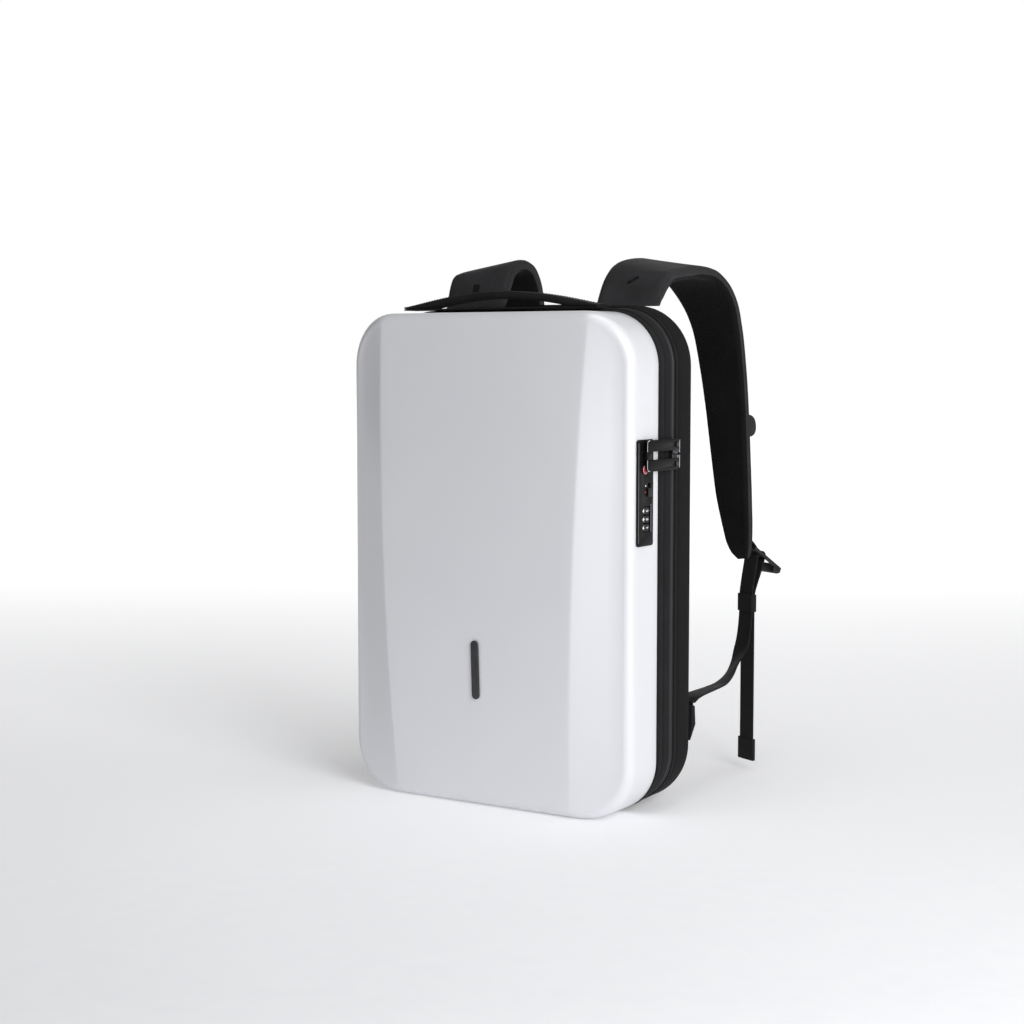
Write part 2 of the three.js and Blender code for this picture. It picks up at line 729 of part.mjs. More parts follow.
// Rounded belly under the buckle's thumb lip: drawn from the side, extruded over the buckle's width
function buckleBelly(half) {
  const face = -BUCKLE_THICKNESS / 2 + 0.5;
  const profile = new THREE.Shape();
  profile.moveTo(buckle.lowerTo, face);
  profile.lineTo(buckle.lowerTo, -BUCKLE_THICKNESS / 2);
  const tip = BUCKLE_LENGTH - 1;
  profile.quadraticCurveTo(buckle.lowerTo + BUCKLE_LIP * 0.3, -BUCKLE_BELLY, tip, -BUCKLE_THICKNESS);
  profile.lineTo(tip, face);
  profile.closePath();
  return flatExtrude(profile, 2 * half)
    .translate(0, 0, -half)
    .applyMatrix4(new THREE.Matrix4().makeBasis(
      new THREE.Vector3(0, 1, 0),
      new THREE.Vector3(0, 0, 1),
      new THREE.Vector3(1, 0, 0),
    ));
}

function ladderBuckle(name, hang) {
  const frame = buckleFrame(hang);
  const windowWidth = WEB_WIDTH + 2 * WEB_SIDE_PLAY;
  const head = windowWidth / 2 + BUCKLE_FRAME * 0.8;
  const lip = windowWidth / 2 + BUCKLE_FRAME * 1.2;
  const shape = new THREE.Shape();
  shape.moveTo(-head, 0);
  shape.lineTo(head, 0);
  shape.lineTo(lip, BUCKLE_LENGTH - BUCKLE_FRAME);
  shape.lineTo(lip - BUCKLE_FRAME, BUCKLE_LENGTH);
  shape.lineTo(-lip + BUCKLE_FRAME, BUCKLE_LENGTH);
  shape.lineTo(-lip, BUCKLE_LENGTH - BUCKLE_FRAME);
  shape.closePath();
  const windows = [[buckle.upperFrom, buckle.barFrom], [buckle.barTo, buckle.lowerTo]];
  for (const [from, to] of windows) {
    const window = new THREE.Path();
    window.moveTo(-windowWidth / 2, from);
    window.lineTo(-windowWidth / 2, to);
    window.lineTo(windowWidth / 2, to);
    window.lineTo(windowWidth / 2, from);
    window.closePath();
    shape.holes.push(window);
  }
  const plate = flatExtrude(shape, BUCKLE_THICKNESS).translate(0, 0, -BUCKLE_THICKNESS / 2);
  const mesh = addPiece(`ladder_buckle_${name}`, join(plate, buckleBelly(head)), 'plastic');
  const widthwise = new THREE.Vector3().crossVectors(frame.long, frame.out);
  const basis = new THREE.Matrix4().makeBasis(widthwise, frame.long, frame.out);
  mesh.quaternion.setFromRotationMatrix(basis);
  mesh.position.copy(frame.head);
}

// Short webbing that carries the buckle: sewn to the pad's outer face, down to the buckle's first bar
function padEndWeb(name, hang) {
  const frame = buckleFrame(hang);
  const lift = (fromEnd) => {
    const section = hang.rings[hang.rings.length - fromEnd];
    const proud = PAD_THICKNESS / 2 + 3 * GAP + WEB_THICKNESS / 2;
    return section.centre.clone().addScaledVector(section.inward, -proud);
  };
  const overBar = BUCKLE_THICKNESS / 2 + GAP + WEB_THICKNESS / 2;
  const rows = [
    { point: lift(4), across: hang.rings[hang.rings.length - 4].across },
    { point: lift(3), across: hang.rings[hang.rings.length - 3].across },
    { point: frame.at(BUCKLE_FRAME / 2, overBar + WEB_BEND / 2), across: hang.across },
    { point: frame.at(BUCKLE_FRAME + 1, overBar), across: hang.across },
  ];
  addPiece(`pad_end_web_${name}`, strapAlong(rows, 8, WEB_WIDTH * 0.9, () => WEB_THICKNESS), 'web');
}

// Adjusting webbing: from the corner tab up through the buckle, round its bar and down as a free tail
function adjusterWeb(name, hang) {
  const frame = buckleFrame(hang);
  const tab = cornerTabSeat(hang.side);
  const around = BUCKLE_BAR / 2 + WEB_THICKNESS / 2 + BAR_SLACK;
  const over = BUCKLE_THICKNESS / 2 + WEB_THICKNESS / 2 + BAR_SLACK;
  const bar = buckle.barMiddle;
  const keeperMiddle = keeperSpot(hang);
  const front = keeperMiddle.clone().addScaledVector(hang.back, -WEB_LAYERS / 2);
  const tail = keeperMiddle.clone().addScaledVector(hang.back, WEB_LAYERS / 2);
  const below = (point, drop) => point.clone().setZ(point.z - drop);
  const sweep = (share, height) => {
    const sideways = 1 - (1 - share) ** 2;
    const y = mix(front.y, tab.y, share);
    return new THREE.Vector3(mix(front.x, tab.x, sideways), y, mix(tab.z, front.z, height));
  };
  const square = new THREE.Vector3(hang.side, 0, 0);
  const turned = (share) => square.clone().applyAxisAngle(
    new THREE.Vector3(0, 0, 1),
    -hang.side * share * THREE.MathUtils.degToRad(WEB_TURN),
  );
  const rolled = (lead, lift) => new THREE.Vector3(hang.side, -lead, lift);
  const rows = [
    { point: tab, across: square },
    { point: below(tab, -4), across: square },
    { point: sweep(0.98, 0.03), across: square },
    { point: sweep(0.93, 0.06), across: square },
    { point: sweep(0.86, 0.075), across: rolled(0, 0.05) },
    { point: sweep(0.68, 0.085), across: rolled(0, 0.12) },
    { point: sweep(0.5, 0.095), across: rolled(0, 0.2) },
    { point: sweep(0.37, 0.14), across: rolled(0, 0.5) },
    { point: sweep(0.25, 0.235), across: rolled(0.1, 0.9) },
    { point: sweep(0.15, 0.34), across: rolled(0.4, 0.55) },
    { point: sweep(0.09, 0.45), across: turned(1.1) },
    { point: sweep(0.04, 0.6), across: turned(1.05) },
    { point: below(front, KEEPER_HEIGHT / 2), across: hang.across },
    { point: below(front, -KEEPER_HEIGHT / 2), across: hang.across },
    { point: frame.at(bar - around + 4, -BUCKLE_RUN), across: hang.across },
    { point: frame.at(bar - around, -BUCKLE_THICKNESS / 2), across: hang.across },
    { point: frame.at(bar - around + 0.3, BUCKLE_THICKNESS / 2), across: hang.across },
    { point: frame.at(bar, over), across: hang.across },
    { point: frame.at(bar + around - 0.3, BUCKLE_THICKNESS / 2), across: hang.across },
    { point: frame.at(bar + around, -BUCKLE_THICKNESS / 2), across: hang.across },
    { point: frame.at(bar + around + 3, -BUCKLE_RUN), across: hang.across },
    { point: below(tail, -KEEPER_HEIGHT / 2), across: hang.across },
    { point: below(tail, KEEPER_HEIGHT / 2), across: hang.across },
    { point: tail.clone().setZ(mix(TAIL_END, tail.z, 0.5)), across: hang.across },
    { point: tail.clone().setZ(TAIL_END + FOLD_LENGTH + GAP), across: hang.across },
  ];
  addPiece(`adjuster_web_${name}`, strapAlong(rows, 76, WEB_WIDTH, () => WEB_THICKNESS), 'web');

  const fold = [TAIL_END, TAIL_END + FOLD_LENGTH].map((z) => {
    const up = hang.back;
    return strapSection(tail.clone().setZ(z), hang.across, up, WEB_WIDTH + FOLD_EXTRA, FOLD_THICKNESS);
  });
  addPiece(`web_fold_${name}`, loft(fold), 'web');
}

function keeperSpot(hang) {
  const exit = buckleFrame(hang).at(buckle.barMiddle, 0);
  const behind = exit.clone().sub(hang.end.centre).dot(hang.back);
  return hang.at(behind - KEEPER_BEFORE_BAR, 0).setZ(exit.z - KEEPER_DROP);
}

function webKeeper(name, hang) {
  const spot = keeperSpot(hang);
  const innerWidth = WEB_WIDTH + 2 * GAP + KEEPER_SLACK;
  const innerDepth = WEB_LAYERS + WEB_THICKNESS + 2 * GAP + KEEPER_SLACK;
  const shape = roundedShape(innerWidth + 2 * KEEPER_WALL, innerDepth + 2 * KEEPER_WALL, 2);
  shape.holes.push(roundedShape(innerWidth, innerDepth, 0.8));
  const geometry = flatExtrude(shape, KEEPER_HEIGHT, 3).translate(0, 0, -KEEPER_HEIGHT / 2);
  const mesh = addPiece(`web_keeper_${name}`, geometry, 'web');
  mesh.rotation.z = -hang.side * THREE.MathUtils.degToRad(WEB_TURN);
  mesh.position.copy(spot);
}

// Folded corner tab on the case's back, which holds the webbing's lower end
function cornerTabSeat(side) {
  const x = side * (caseOutline.half - TAB_INSET);
  return new THREE.Vector3(x, caseBack + GAP + TAB_PROUD / 2, TAB_FOOT + TAB_HEIGHT + GAP);
}

function cornerTab(name, side) {
  const seat = cornerTabSeat(side);
  const front = caseBack + GAP;
  const thin = 1.6;
  const sections = [
    [TAB_FOOT, 0.9, thin],
    [TAB_FOOT + TAB_HEIGHT * 0.45, 1.1, TAB_PROUD],
    [TAB_FOOT + TAB_HEIGHT, 1.1, TAB_PROUD * 0.8],
  ];
  const across = new THREE.Vector3(side, 0, 0);
  const up = new THREE.Vector3(0, 1, 0);
  const rings = sections.map(([z, wide, proud]) => {
    const centre = new THREE.Vector3(seat.x, front + proud / 2, z);
    return strapSection(centre, across, up, WEB_WIDTH * wide, proud);
  });
  addPiece(`corner_tab_${name}`, loft(rings), 'web');
}

// Small rounded plastic clip standing off the pad's outer face, near its outer edge
function strapClip(name, hang) {
  const route = hang.rings.map((section) => section.centre);
  const height = caseTop - CLIP_DROP;
  const above = route.findIndex((point, i) => i > 0 && route[i - 1].z > height && point.z <= height);
  const share = (route[above - 1].z - height) / (route[above - 1].z - route[above].z);
  const centre = route[above - 1].clone().lerp(route[above], share);
  const section = hang.rings[above];
  const outward = section.inward.clone().negate();
  const halfWidth = (PAD_WIDTH * PAD_ROWS[above].wide) / 2;
  const foot = centre
    .addScaledVector(outward, PAD_THICKNESS / 2 + GAP)
    .addScaledVector(section.across, halfWidth - CLIP_INSET);
  const outline = new THREE.Shape();
  const half = CLIP_HEIGHT / 2;
  outline.moveTo(0, -half);
  outline.quadraticCurveTo(CLIP_PROUD, -half, CLIP_PROUD, 0);
  outline.quadraticCurveTo(CLIP_PROUD, half, 0, half);
  outline.closePath();
  const geometry = flatExtrude(outline, CLIP_THICKNESS).translate(0, 0, -CLIP_THICKNESS / 2);
  const mesh = addPiece(`strap_clip_${name}`, geometry, 'plastic');
  const along = section.tangent.clone().negate();
  const wide = new THREE.Vector3().crossVectors(outward, along);
  mesh.quaternion.setFromRotationMatrix(new THREE.Matrix4().makeBasis(outward, along, wide));
  mesh.position.copy(foot);
}

// Lock, on the +X wall. Its own named places:
const lock = {};
lock.wallX = SHELL_WIDTH / 2;
lock.backX = lock.wallX + GAP;
lock.faceX = lock.backX + LOCK_THICKNESS;
lock.innerX = lock.wallX - LOCK_CASE_DEPTH;
lock.backY = rimY - LOCK_BEHIND_RIM;
lock.frontY = lock.backY - LOCK_WIDTH;
lock.middleY = (lock.frontY + lock.backY) / 2;
lock.top = SHELL_HEIGHT - LOCK_BELOW_TOP;
lock.foot = lock.top - LOCK_HEIGHT;
lock.caseFrontY = lock.frontY + LOCK_CASE_MARGIN;
lock.caseBackY = lock.backY - LOCK_CASE_MARGIN;
lock.caseFoot = lock.foot + LOCK_CASE_MARGIN;
lock.caseTop = lock.top - LOCK_CASE_MARGIN;
lock.dialX = lock.faceX + DIAL_PROUD - DIAL_RADIUS;
lock.dialY = lock.middleY + DIAL_OFF_MIDDLE;
lock.dialZ = lock.foot + DIAL_ABOVE_FOOT;
lock.buttonY = lock.middleY + BUTTON_OFF_MIDDLE;
lock.buttonFoot = lock.foot + BUTTON_ABOVE_FOOT;
lock.keyY = lock.middleY + KEY_OFF_MIDDLE;
lock.keyZ = lock.foot + KEY_ABOVE_FOOT;
lock.pocketFoot = lock.dialZ - ((DIAL_COUNT - 1) / 2) * DIAL_PITCH - DIAL_THICKNESS / 2 - DIAL_CLEARANCE;
lock.pocketTop = lock.dialZ + ((DIAL_COUNT - 1) / 2) * DIAL_PITCH + DIAL_THICKNESS / 2 + DIAL_CLEARANCE;

// The button's tongue, and the slot it slides in, between two depths along X
function buttonTongue(fromX, toX, slack, travel) {
  const half = (BUTTON_WIDTH * TONGUE_SHARE) / 2 + slack;
  const foot = lock.buttonFoot + (BUTTON_HEIGHT * (1 - TONGUE_SHARE)) / 2 - slack;
  const top = lock.buttonFoot + (BUTTON_HEIGHT * (1 + TONGUE_SHARE)) / 2 + slack + travel;
  return boxBetween([fromX, lock.buttonY - half, foot], [toX, lock.buttonY + half, top]);
}

function buttonWay(fromX, toX) {
  return buttonTongue(fromX, toX, GAP, BUTTON_TRAVEL);
}

function lockPlate() {
  const shape = roundedShape(LOCK_WIDTH, LOCK_HEIGHT, LOCK_CORNER);
  const plate = flatExtrude(shape, LOCK_THICKNESS, 3)
    .applyMatrix4(new THREE.Matrix4().makeBasis(
      new THREE.Vector3(0, 1, 0),
      new THREE.Vector3(0, 0, 1),
      new THREE.Vector3(1, 0, 0),
    ))
    .translate(lock.backX, lock.middleY, (lock.foot + lock.top) / 2);
  const past = 1;
  const dialWindow = boxBetween(
    [lock.backX - past, lock.dialY - DIAL_RADIUS, lock.pocketFoot],
    [lock.faceX + past, lock.dialY + DIAL_RADIUS, lock.pocketTop],
  );
  const buttonSlot = buttonWay(lock.backX - past, lock.faceX + past);
  const keyHole = discAlongX(KEY_RADIUS + GAP, lock.backX - past, lock.faceX + past, lock.keyY, lock.keyZ);
  addPiece('lock_plate', cut(plate, dialWindow, buttonSlot, keyHole), 'lock');
}

function lockCase() {
  const body = boxBetween(
    [lock.innerX, lock.caseFrontY, lock.caseFoot],
    [lock.wallX, lock.caseBackY, lock.caseTop],
  );
  const pocket = boxBetween(
    [lock.dialX - DIAL_RADIUS - DIAL_CLEARANCE, lock.dialY - DIAL_RADIUS - DIAL_CLEARANCE, lock.pocketFoot],
    [lock.wallX + 1, lock.dialY + DIAL_RADIUS + DIAL_CLEARANCE, lock.pocketTop],
  );
  const past = 1;
  const buttonPocket = buttonWay(lock.wallX - BUTTON_POCKET, lock.wallX + past);
  const boreFoot = lock.wallX - KEY_BORE;
  const keyBore = discAlongX(KEY_RADIUS + GAP, boreFoot, lock.wallX + past, lock.keyY, lock.keyZ);
  const axle = discAlongZ(AXLE_RADIUS, lock.dialX, lock.dialY, lock.pocketFoot - 1, lock.pocketTop + 1, 16);
  const carved = cut(body, pocket, buttonPocket, keyBore);
  addPiece('lock_case', join(carved, axle), 'plastic');
}

function dials() {
  for (let i = 0; i < DIAL_COUNT; i += 1) {
    const middle = lock.dialZ + ((DIAL_COUNT - 1) / 2 - i) * DIAL_PITCH;
    const half = DIAL_THICKNESS / 2;
    const wheel = discAlongZ(DIAL_RADIUS, lock.dialX, lock.dialY, middle - half, middle + half, 40);
    const bore = discAlongZ(DIAL_BORE, lock.dialX, lock.dialY, middle - half - 1, middle + half + 1, 16);
    addPiece(`dial_${i + 1}`, cut(wheel, bore), 'plastic');
  }
}

function lockButton() {
  const cap = boxBetween(
    [lock.faceX + GAP, lock.buttonY - BUTTON_WIDTH / 2, lock.buttonFoot],
    [lock.faceX + GAP + BUTTON_PROUD, lock.buttonY + BUTTON_WIDTH / 2, lock.buttonFoot + BUTTON_HEIGHT],
  );
  const stem = buttonTongue(lock.wallX - BUTTON_POCKET + 1, lock.faceX + GAP + BUTTON_PROUD / 2, 0, 0);
  addPiece('lock_button', join(cap, stem), 'plastic');
}

function keyParts() {
  const ringBack = lock.faceX + GAP;
  const ringFace = ringBack + KEY_RING_THICKNESS;
  const ring = discAlongX(KEY_RING_RADIUS, ringBack, ringFace, lock.keyY, lock.keyZ, 32);
  const hole = discAlongX(KEY_RADIUS + GAP, ringBack - 1, ringFace + 1, lock.keyY, lock.keyZ);
  addPiece('key_ring', cut(ring, hole), 'red');
  const plug = discAlongX(KEY_RADIUS, lock.wallX - KEY_BORE + 1, ringFace, lock.keyY, lock.keyZ);
  const slot = boxBetween(
    [ringFace - KEY_SLOT_DEPTH, lock.keyY - KEY_SLOT / 2, lock.keyZ - KEY_RADIUS * 0.7],
    [ringFace + 1, lock.keyY + KEY_SLOT / 2, lock.keyZ + KEY_RADIUS * 0.7],
  );
  addPiece('key_cylinder', cut(plug, slot), 'metal');
}

// Sliders, pull tabs and the post that catches the tabs' ends on the lock
const pulls = {
  x: caseOutline.half + GAP + SLIDER_THICKNESS + GAP,
  seatY: chainY - SLIDER_LEAD,
  gapFoot: lock.top - PULL_BELOW_TOP - PULL_HEIGHT - PULL_GAP,
  frontY: lock.frontY + PULL_REACH,
};

function tabPost() {
  const body = boxBetween(
    [lock.faceX + GAP, pulls.frontY, pulls.gapFoot + GAP],
    [pulls.x + PULL_THICKNESS, pulls.frontY + POST_BLOCK, pulls.gapFoot + PULL_GAP - GAP],
  );
  addPiece('tab_post', body, 'lock');
}

function sliderAndPull(name, pullFoot, sliderFoot, roundAtTop) {
  const chainFace = mixOutline(0.7, CHAIN_RECESS).half + GAP;
  const back = caseOutline.half + GAP;
  const middleZ = pullFoot + PULL_HEIGHT / 2;
  const body = boxBetween(
    [back, pulls.seatY - SLIDER_WIDTH / 2, sliderFoot],
    [pulls.x - GAP, pulls.seatY + SLIDER_WIDTH / 2, sliderFoot + SLIDER_HEIGHT],
  );
  const shoe = boxBetween(
    [chainFace, chainFront + GAP, sliderFoot],
    [back + SLIDER_THICKNESS / 2, chainBack - GAP, sliderFoot + SLIDER_HEIGHT],
  );
  const postEnd = pulls.x + PULL_THICKNESS + POST_CAP;
  const post = discAlongX(POST_RADIUS, back + 1, postEnd, pulls.seatY, middleZ, 12);
  const capBack = pulls.x + PULL_THICKNESS + GAP;
  const cap = discAlongX(POST_CAP_RADIUS, capBack, capBack + POST_CAP, pulls.seatY, middleZ, 16);
  addPiece(`slider_${name}`, join(body, shoe, post, cap), 'metal');

  const end = pulls.frontY;
  const far = pulls.seatY + PULL_FAR;
  const top = roundAtTop ? 1 : -1;
  const shape = new THREE.Shape();
  const half = PULL_HEIGHT / 2;
  shape.moveTo(end, -half * top);
  shape.lineTo(pulls.seatY, -half * top);
  shape.quadraticCurveTo(far, -half * top, far, 0);
  shape.quadraticCurveTo(far, half * top, pulls.seatY, half * top);
  shape.lineTo(end + PULL_END, half * top);
  shape.quadraticCurveTo(end, half * top, end, (half - PULL_END) * top);
  shape.closePath();
  const eye = new THREE.Path();
  eye.absarc(pulls.seatY, 0, POST_RADIUS + GAP, 0, Math.PI * 2, roundAtTop);
  shape.holes.push(eye);
  const geometry = flatExtrude(shape, PULL_THICKNESS).applyMatrix4(new THREE.Matrix4().makeBasis(
    new THREE.Vector3(0, 1, 0),
    new THREE.Vector3(0, 0, 1),
    new THREE.Vector3(1, 0, 0),
  ));
  geometry.translate(pulls.x, 0, middleZ);
  addPiece(`pull_tab_${name}`, geometry, 'metal');
}

function zipperPulls() {
  const upperFoot = pulls.gapFoot + PULL_GAP;
  const lowerFoot = pulls.gapFoot - PULL_HEIGHT;
  const meet = pulls.gapFoot + PULL_GAP / 2;
  sliderAndPull('upper', upperFoot, meet + GAP, true);
  sliderAndPull('lower', lowerFoot, meet - GAP - SLIDER_HEIGHT, false);
}

frontShell();
badge();
bands();
backCase();
backPanel();
handlePieces();
const straps = {
  right: { side: 1, reach: REACH_RIGHT, splay: SPLAY_RIGHT },
  left: { side: -1, reach: REACH_LEFT, splay: SPLAY_LEFT },
};
for (const [name, { side, reach, splay }] of Object.entries(straps)) {
  const hang = hangFrame(side, reach, splay);
  shoulderPad(name, hang);
  padEndWeb(name, hang);
  ladderBuckle(name, hang);
  adjusterWeb(name, hang);
  webKeeper(name, hang);
  cornerTab(name, side);
  strapClip(name, hang);
}
lockPlate();
lockCase();
dials();
lockButton();
keyParts();
tabPost();
zipperPulls();

export default pack;
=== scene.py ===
# The looks of a hard shell backpack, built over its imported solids.
# Sizes are millimetres until a mesh is made; the axes are the part's own.

import math

import bmesh
import bpy
import numpy as np
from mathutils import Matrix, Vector


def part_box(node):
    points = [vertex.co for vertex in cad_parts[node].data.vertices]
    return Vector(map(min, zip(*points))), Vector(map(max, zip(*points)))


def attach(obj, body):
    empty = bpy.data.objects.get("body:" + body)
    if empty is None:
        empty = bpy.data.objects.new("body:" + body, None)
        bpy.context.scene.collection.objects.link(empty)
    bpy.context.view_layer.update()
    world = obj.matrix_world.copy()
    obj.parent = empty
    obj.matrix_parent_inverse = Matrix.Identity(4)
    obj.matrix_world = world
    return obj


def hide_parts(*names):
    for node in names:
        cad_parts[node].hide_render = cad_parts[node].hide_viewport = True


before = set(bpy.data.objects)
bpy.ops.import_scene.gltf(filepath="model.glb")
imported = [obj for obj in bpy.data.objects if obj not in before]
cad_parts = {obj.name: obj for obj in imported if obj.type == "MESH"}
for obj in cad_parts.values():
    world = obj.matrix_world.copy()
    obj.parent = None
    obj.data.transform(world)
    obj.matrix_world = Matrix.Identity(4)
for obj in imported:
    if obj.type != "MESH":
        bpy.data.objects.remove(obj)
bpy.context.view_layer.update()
MM = 0.001

# Light
SKY_DARK = 0.06
SKY_LIGHT = 0.56
KEY_POWER = 23
TOP_POWER = 7
FLOOR_NEAR = 0.06
FLOOR_FAR = 0.8
FLOOR_HALF = 14
GLOW_FROM = -0.6
GLOW_TO = 2.2

# Camera at the photo's angle
CAMERA_AZIMUTH = math.radians(33.14)
CAMERA_DOWN = math.radians(4.60)
CAMERA_PLACE = (0.9843, -1.5289, 0.4113)
CAMERA_LENS = 68.55
VIEW_AHEAD = (-math.sin(CAMERA_AZIMUTH), math.cos(CAMERA_AZIMUTH), 0.0)

# The part's own sizes
GAP = 0.3
SHELL_HALF = 152
SHELL_HEIGHT = 450
SHELL_FILLET = 10
SHELL_WALL = 2.6
SHELL_EDGE_Y = -64.8
RIM_Y = -17.8
PANEL_STEP = 7.2
DOME_RISE = 11.6
CREASE_TOP = 112
CREASE_BOTTOM = 94
CREASE_SOFT = 1.6
CREASE_CLEAR = 6
CREASE_OFFSETS = (-5, -3, -1.8, -0.9, 0, 0.9, 1.8, 3, 5)
SHELL = {"half": 152.0, "foot": 0.0, "top": 450.0, "corner": 49.0}
CASE = {"half": 152.4, "foot": 0.0, "top": 456.5, "corner": 55.0}
CASE_FRONT = 18.2
CASE_BACK = 51.7
CASE_FILLET = 13
CORNER_STEPS = 20
SIDE_STEPS = 24
BAND_SIDE_STEPS = 12
CUSHION_SIDE_STEPS = 16
SOFT_STEPS = 10

# Rolled rims of the two trays: inset, then distance before the rim
SHELL_RIM = [(0.0, 0.8), (0.25, 0.2), (0.8, 0.0), (SHELL_WALL, 0.0)]
CASE_RIM = [(0.0, 1.2), (0.4, 0.3), (1.2, 0.0), (4.0, 0.0)]

# Cloth bands: name, share of the way from shell to case, front, back, wall, crown, edge, solid
BANDS = [
    ("trim_band", 0.15, -17.5, -7.0, 2.9, 0.5, 1.3, "front_trim"),
    ("gusset_band", 0.5, -6.7, 6.7, 2.4, 0.0, 1.1, "gusset"),
    ("case_edge_band", 0.85, 13.7, 17.9, 2.4, 0.3, 1.2, "zipper_tape"),
]
LIPS_FRONT = 7.0
LIPS_BACK = 13.4
LIPS_WALL = 2.4

# The back pad's edge: inset, then height above the case
CUSHION_CORNER = 34
CUSHION_ROWS = [(0, 0.0), (0, 1.2), (0.2, 2.6), (1.2, 4.2), (3.2, 5.6), (7, 7.0), (14, 8.0)]

LOCK_OPENING = (-55.8, -31.2, 246.4, 336.3)
LOCK_FACE_X = 153.8
DIAL_X = 148.4
DIAL_Y = -41.3
DIAL_RADIUS = 6.5
DIAL_HALF = 3.2
DIAL_BORE = 1.9
DIAL_SIDES = 80
DIAL_TILT = 8
DIGIT_SIZE = 3.9
DIGIT_TURN = 36
DIAL_HEIGHTS = {"dial_1": 275.7, "dial_2": 268.3, "dial_3": 260.9}
DIAL_SHOWN = {"dial_1": 0, "dial_2": 8, "dial_3": 6}
POINTER_Y = -49.0
POINTER_LENGTH = 2.5
POINTER_HALF = 1.9

# Round marks on the lock: name, y, z, radius, look
LOCK_DOTS = [
    ("dot_shut", -43.5, 297.4, 0.75, "white"),
    ("dot_open", -43.8, 292.0, 0.75, "red_ink"),
    # The reset hole is a flat dark disc: painted shade in place of the hole
    ("reset_hole_shade", -41.1, 253.0, 0.8, "mesh"),
]

# Lit edges on the lock: name, low y, high y, low z, high z
LOCK_EDGES = [
    ("window_frame", -34.6, -33.2, 256.8, 281.2),
    ("plate_bevel", -56.4, -55.3, 248, 335),
]
# Painted highlights on the pull tabs and sliders: where they lie and how wide they are
PULL_FACE_X = 157.8
PULL_END = 4.5
PULL_EDGE = 0.9
RIM_FRONT_X = 158.3
RIM_ROOT_X = 154.0
RIM_SETBACK = 2.4

PAD_WIDTH = 68
PAD_THICKNESS = 12
PAD_INSET = 67
PAD_RISE = 44
PAD_DROP = 244
PAD_TILT = 12
PAD_TURN = 13
PAD_SETBACK = 9.5
PAD_SINK = 1.2
PAD_STEPS = 150
PAD_FACE_STEPS = 24
PAD_ROLL_STEPS = 8
PAD_ROLL = 0.35
PAD_SEAM = 5.2
WEB_TURN = math.radians(26)
HANDLE_LENGTH = 214
HANDLE_SHIFT = -19.5
HANDLE_WIDTH = 21
HANDLE_RISE = 13.5
HANDLE_EASE = 1.25
HANDLE_Y = -5.4
STRIP_THICKNESS = 1.5
GRIP_END = 1.5
GRIP_MIDDLE = 6.8
STRIP_STEPS = 40
GRIP_STEPS = 80
STRAPS = {
    "right": {"side": 1, "reach": 158, "splay": 44},
    "left": {"side": -1, "reach": 78, "splay": -10},
}

# Blocks of dense stitching on the pads, in the darkest cloth so that they also paint the shade of a dent:
# section, shift across, width, height, slant
BAR_TACKS_PAINTED_SHADE = {"right": (17, 0.02, 13, 3.2, 0.66), "left": (13, -0.02, 9, 11, 0.0)}

# Sections of one stitch: share along, thickness, lift
STITCH_SECTIONS = [
    (0.0, 0.35, -0.3), (0.15, 1.0, 0.35), (0.5, 1.0, 0.35), (0.85, 1.0, 0.35), (1.0, 0.35, -0.3),
]
STITCH_SIDES = 5
RIBBON_ROUND = 0.45

# Depth of the relief in the materials, in metres
CLOTH_RELIEF = 0.0004
FINE_RELIEF = 0.0001

# Shoulder pad sections: back, up, down, splay, wide, thick, tilt, turn
PAD_ROWS = [
    (0.0, 0.01, 0, 0.0, 0.97, 0.34, 0.0, 0.0),
    (0.035, 0.24, 0, -0.02, 0.98, 0.7, 0.15, 0.1),
    (0.095, 0.56, 0, -0.02, 1.0, 0.9, 0.25, 0.1),
    (0.155, 0.77, 0, -0.01, 1.0, 1.0, 0.4, 0.1),
    (0.24, 0.89, 0, 0.0, 1.0, 1.0, 0.8, 0.15),
    (0.4, 0.98, 0, 0.02, 1.0, 1.0, 1.0, 0.3),
    (0.53, 1.0, 0, 0.07, 1.0, 1.0, 0.8, 0.2),
    (0.69, 0.9, 0, 0.15, 0.99, 1.0, 0.6, 0.3),
    (0.83, 0.58, 0, 0.24, 0.96, 1.0, 0.35, 0.5),
    (0.92, 0.14, 0, 0.34, 0.89, 1.0, 0.25, 0.6),
    (0.965, 0, 0.07, 0.43, 0.82, 1.0, 0.1, 0.8),
    (0.98, 0, 0.235, 0.56, 0.76, 1.0, 0.0, 0.8),
    (0.985, 0, 0.38, 0.65, 0.71, 1.0, 0.0, 0.75),
    (0.985, 0, 0.565, 0.75, 0.65, 1.0, 0.0, 0.7),
    (0.995, 0, 0.73, 0.83, 0.6, 1.0, -0.1, 0.85),
    (1.0, 0, 0.85, 0.92, 0.52, 0.97, -0.15, 1.0),
    (1.005, 0, 0.925, 0.96, 0.44, 0.88, -0.15, 0.9),
    (1.008, 0, 0.97, 1.0, 0.34, 0.72, -0.15, 0.8),
    (1.01, 0, 1.0, 1.03, 0.2, 0.45, -0.1, 0.6),
]


# Small helpers


def mix(a, b, share):
    return a + (b - a) * share


def unit(vector):
    return vector / np.linalg.norm(vector)


# An outline at a share of the way from the shell's to the case's
def mix_outline(share, inset=0.0):
    outline = {key: mix(SHELL[key], CASE[key], share) for key in SHELL}
    return {
        "half": outline["half"] - inset,
        "foot": outline["foot"] + inset,
        "top": outline["top"] - inset,
        "corner": outline["corner"] - inset,
    }


def make_piece(name, points, faces, material, replaces=(), body="pack", sharp=38):
    mesh = bpy.data.meshes.new(name)
    mesh.from_pydata((np.array(points) * MM).tolist(), [], faces)
    mesh.validate()
    piece = bpy.data.objects.new(name, mesh)
    bpy.context.scene.collection.objects.link(piece)
    face_out(mesh)
    finish_piece(piece, material, replaces, body, sharp)
    return piece


def face_out(mesh):
    work = bmesh.new()
    work.from_mesh(mesh)
    bmesh.ops.recalc_face_normals(work, faces=work.faces)
    work.to_mesh(mesh)
    work.free()


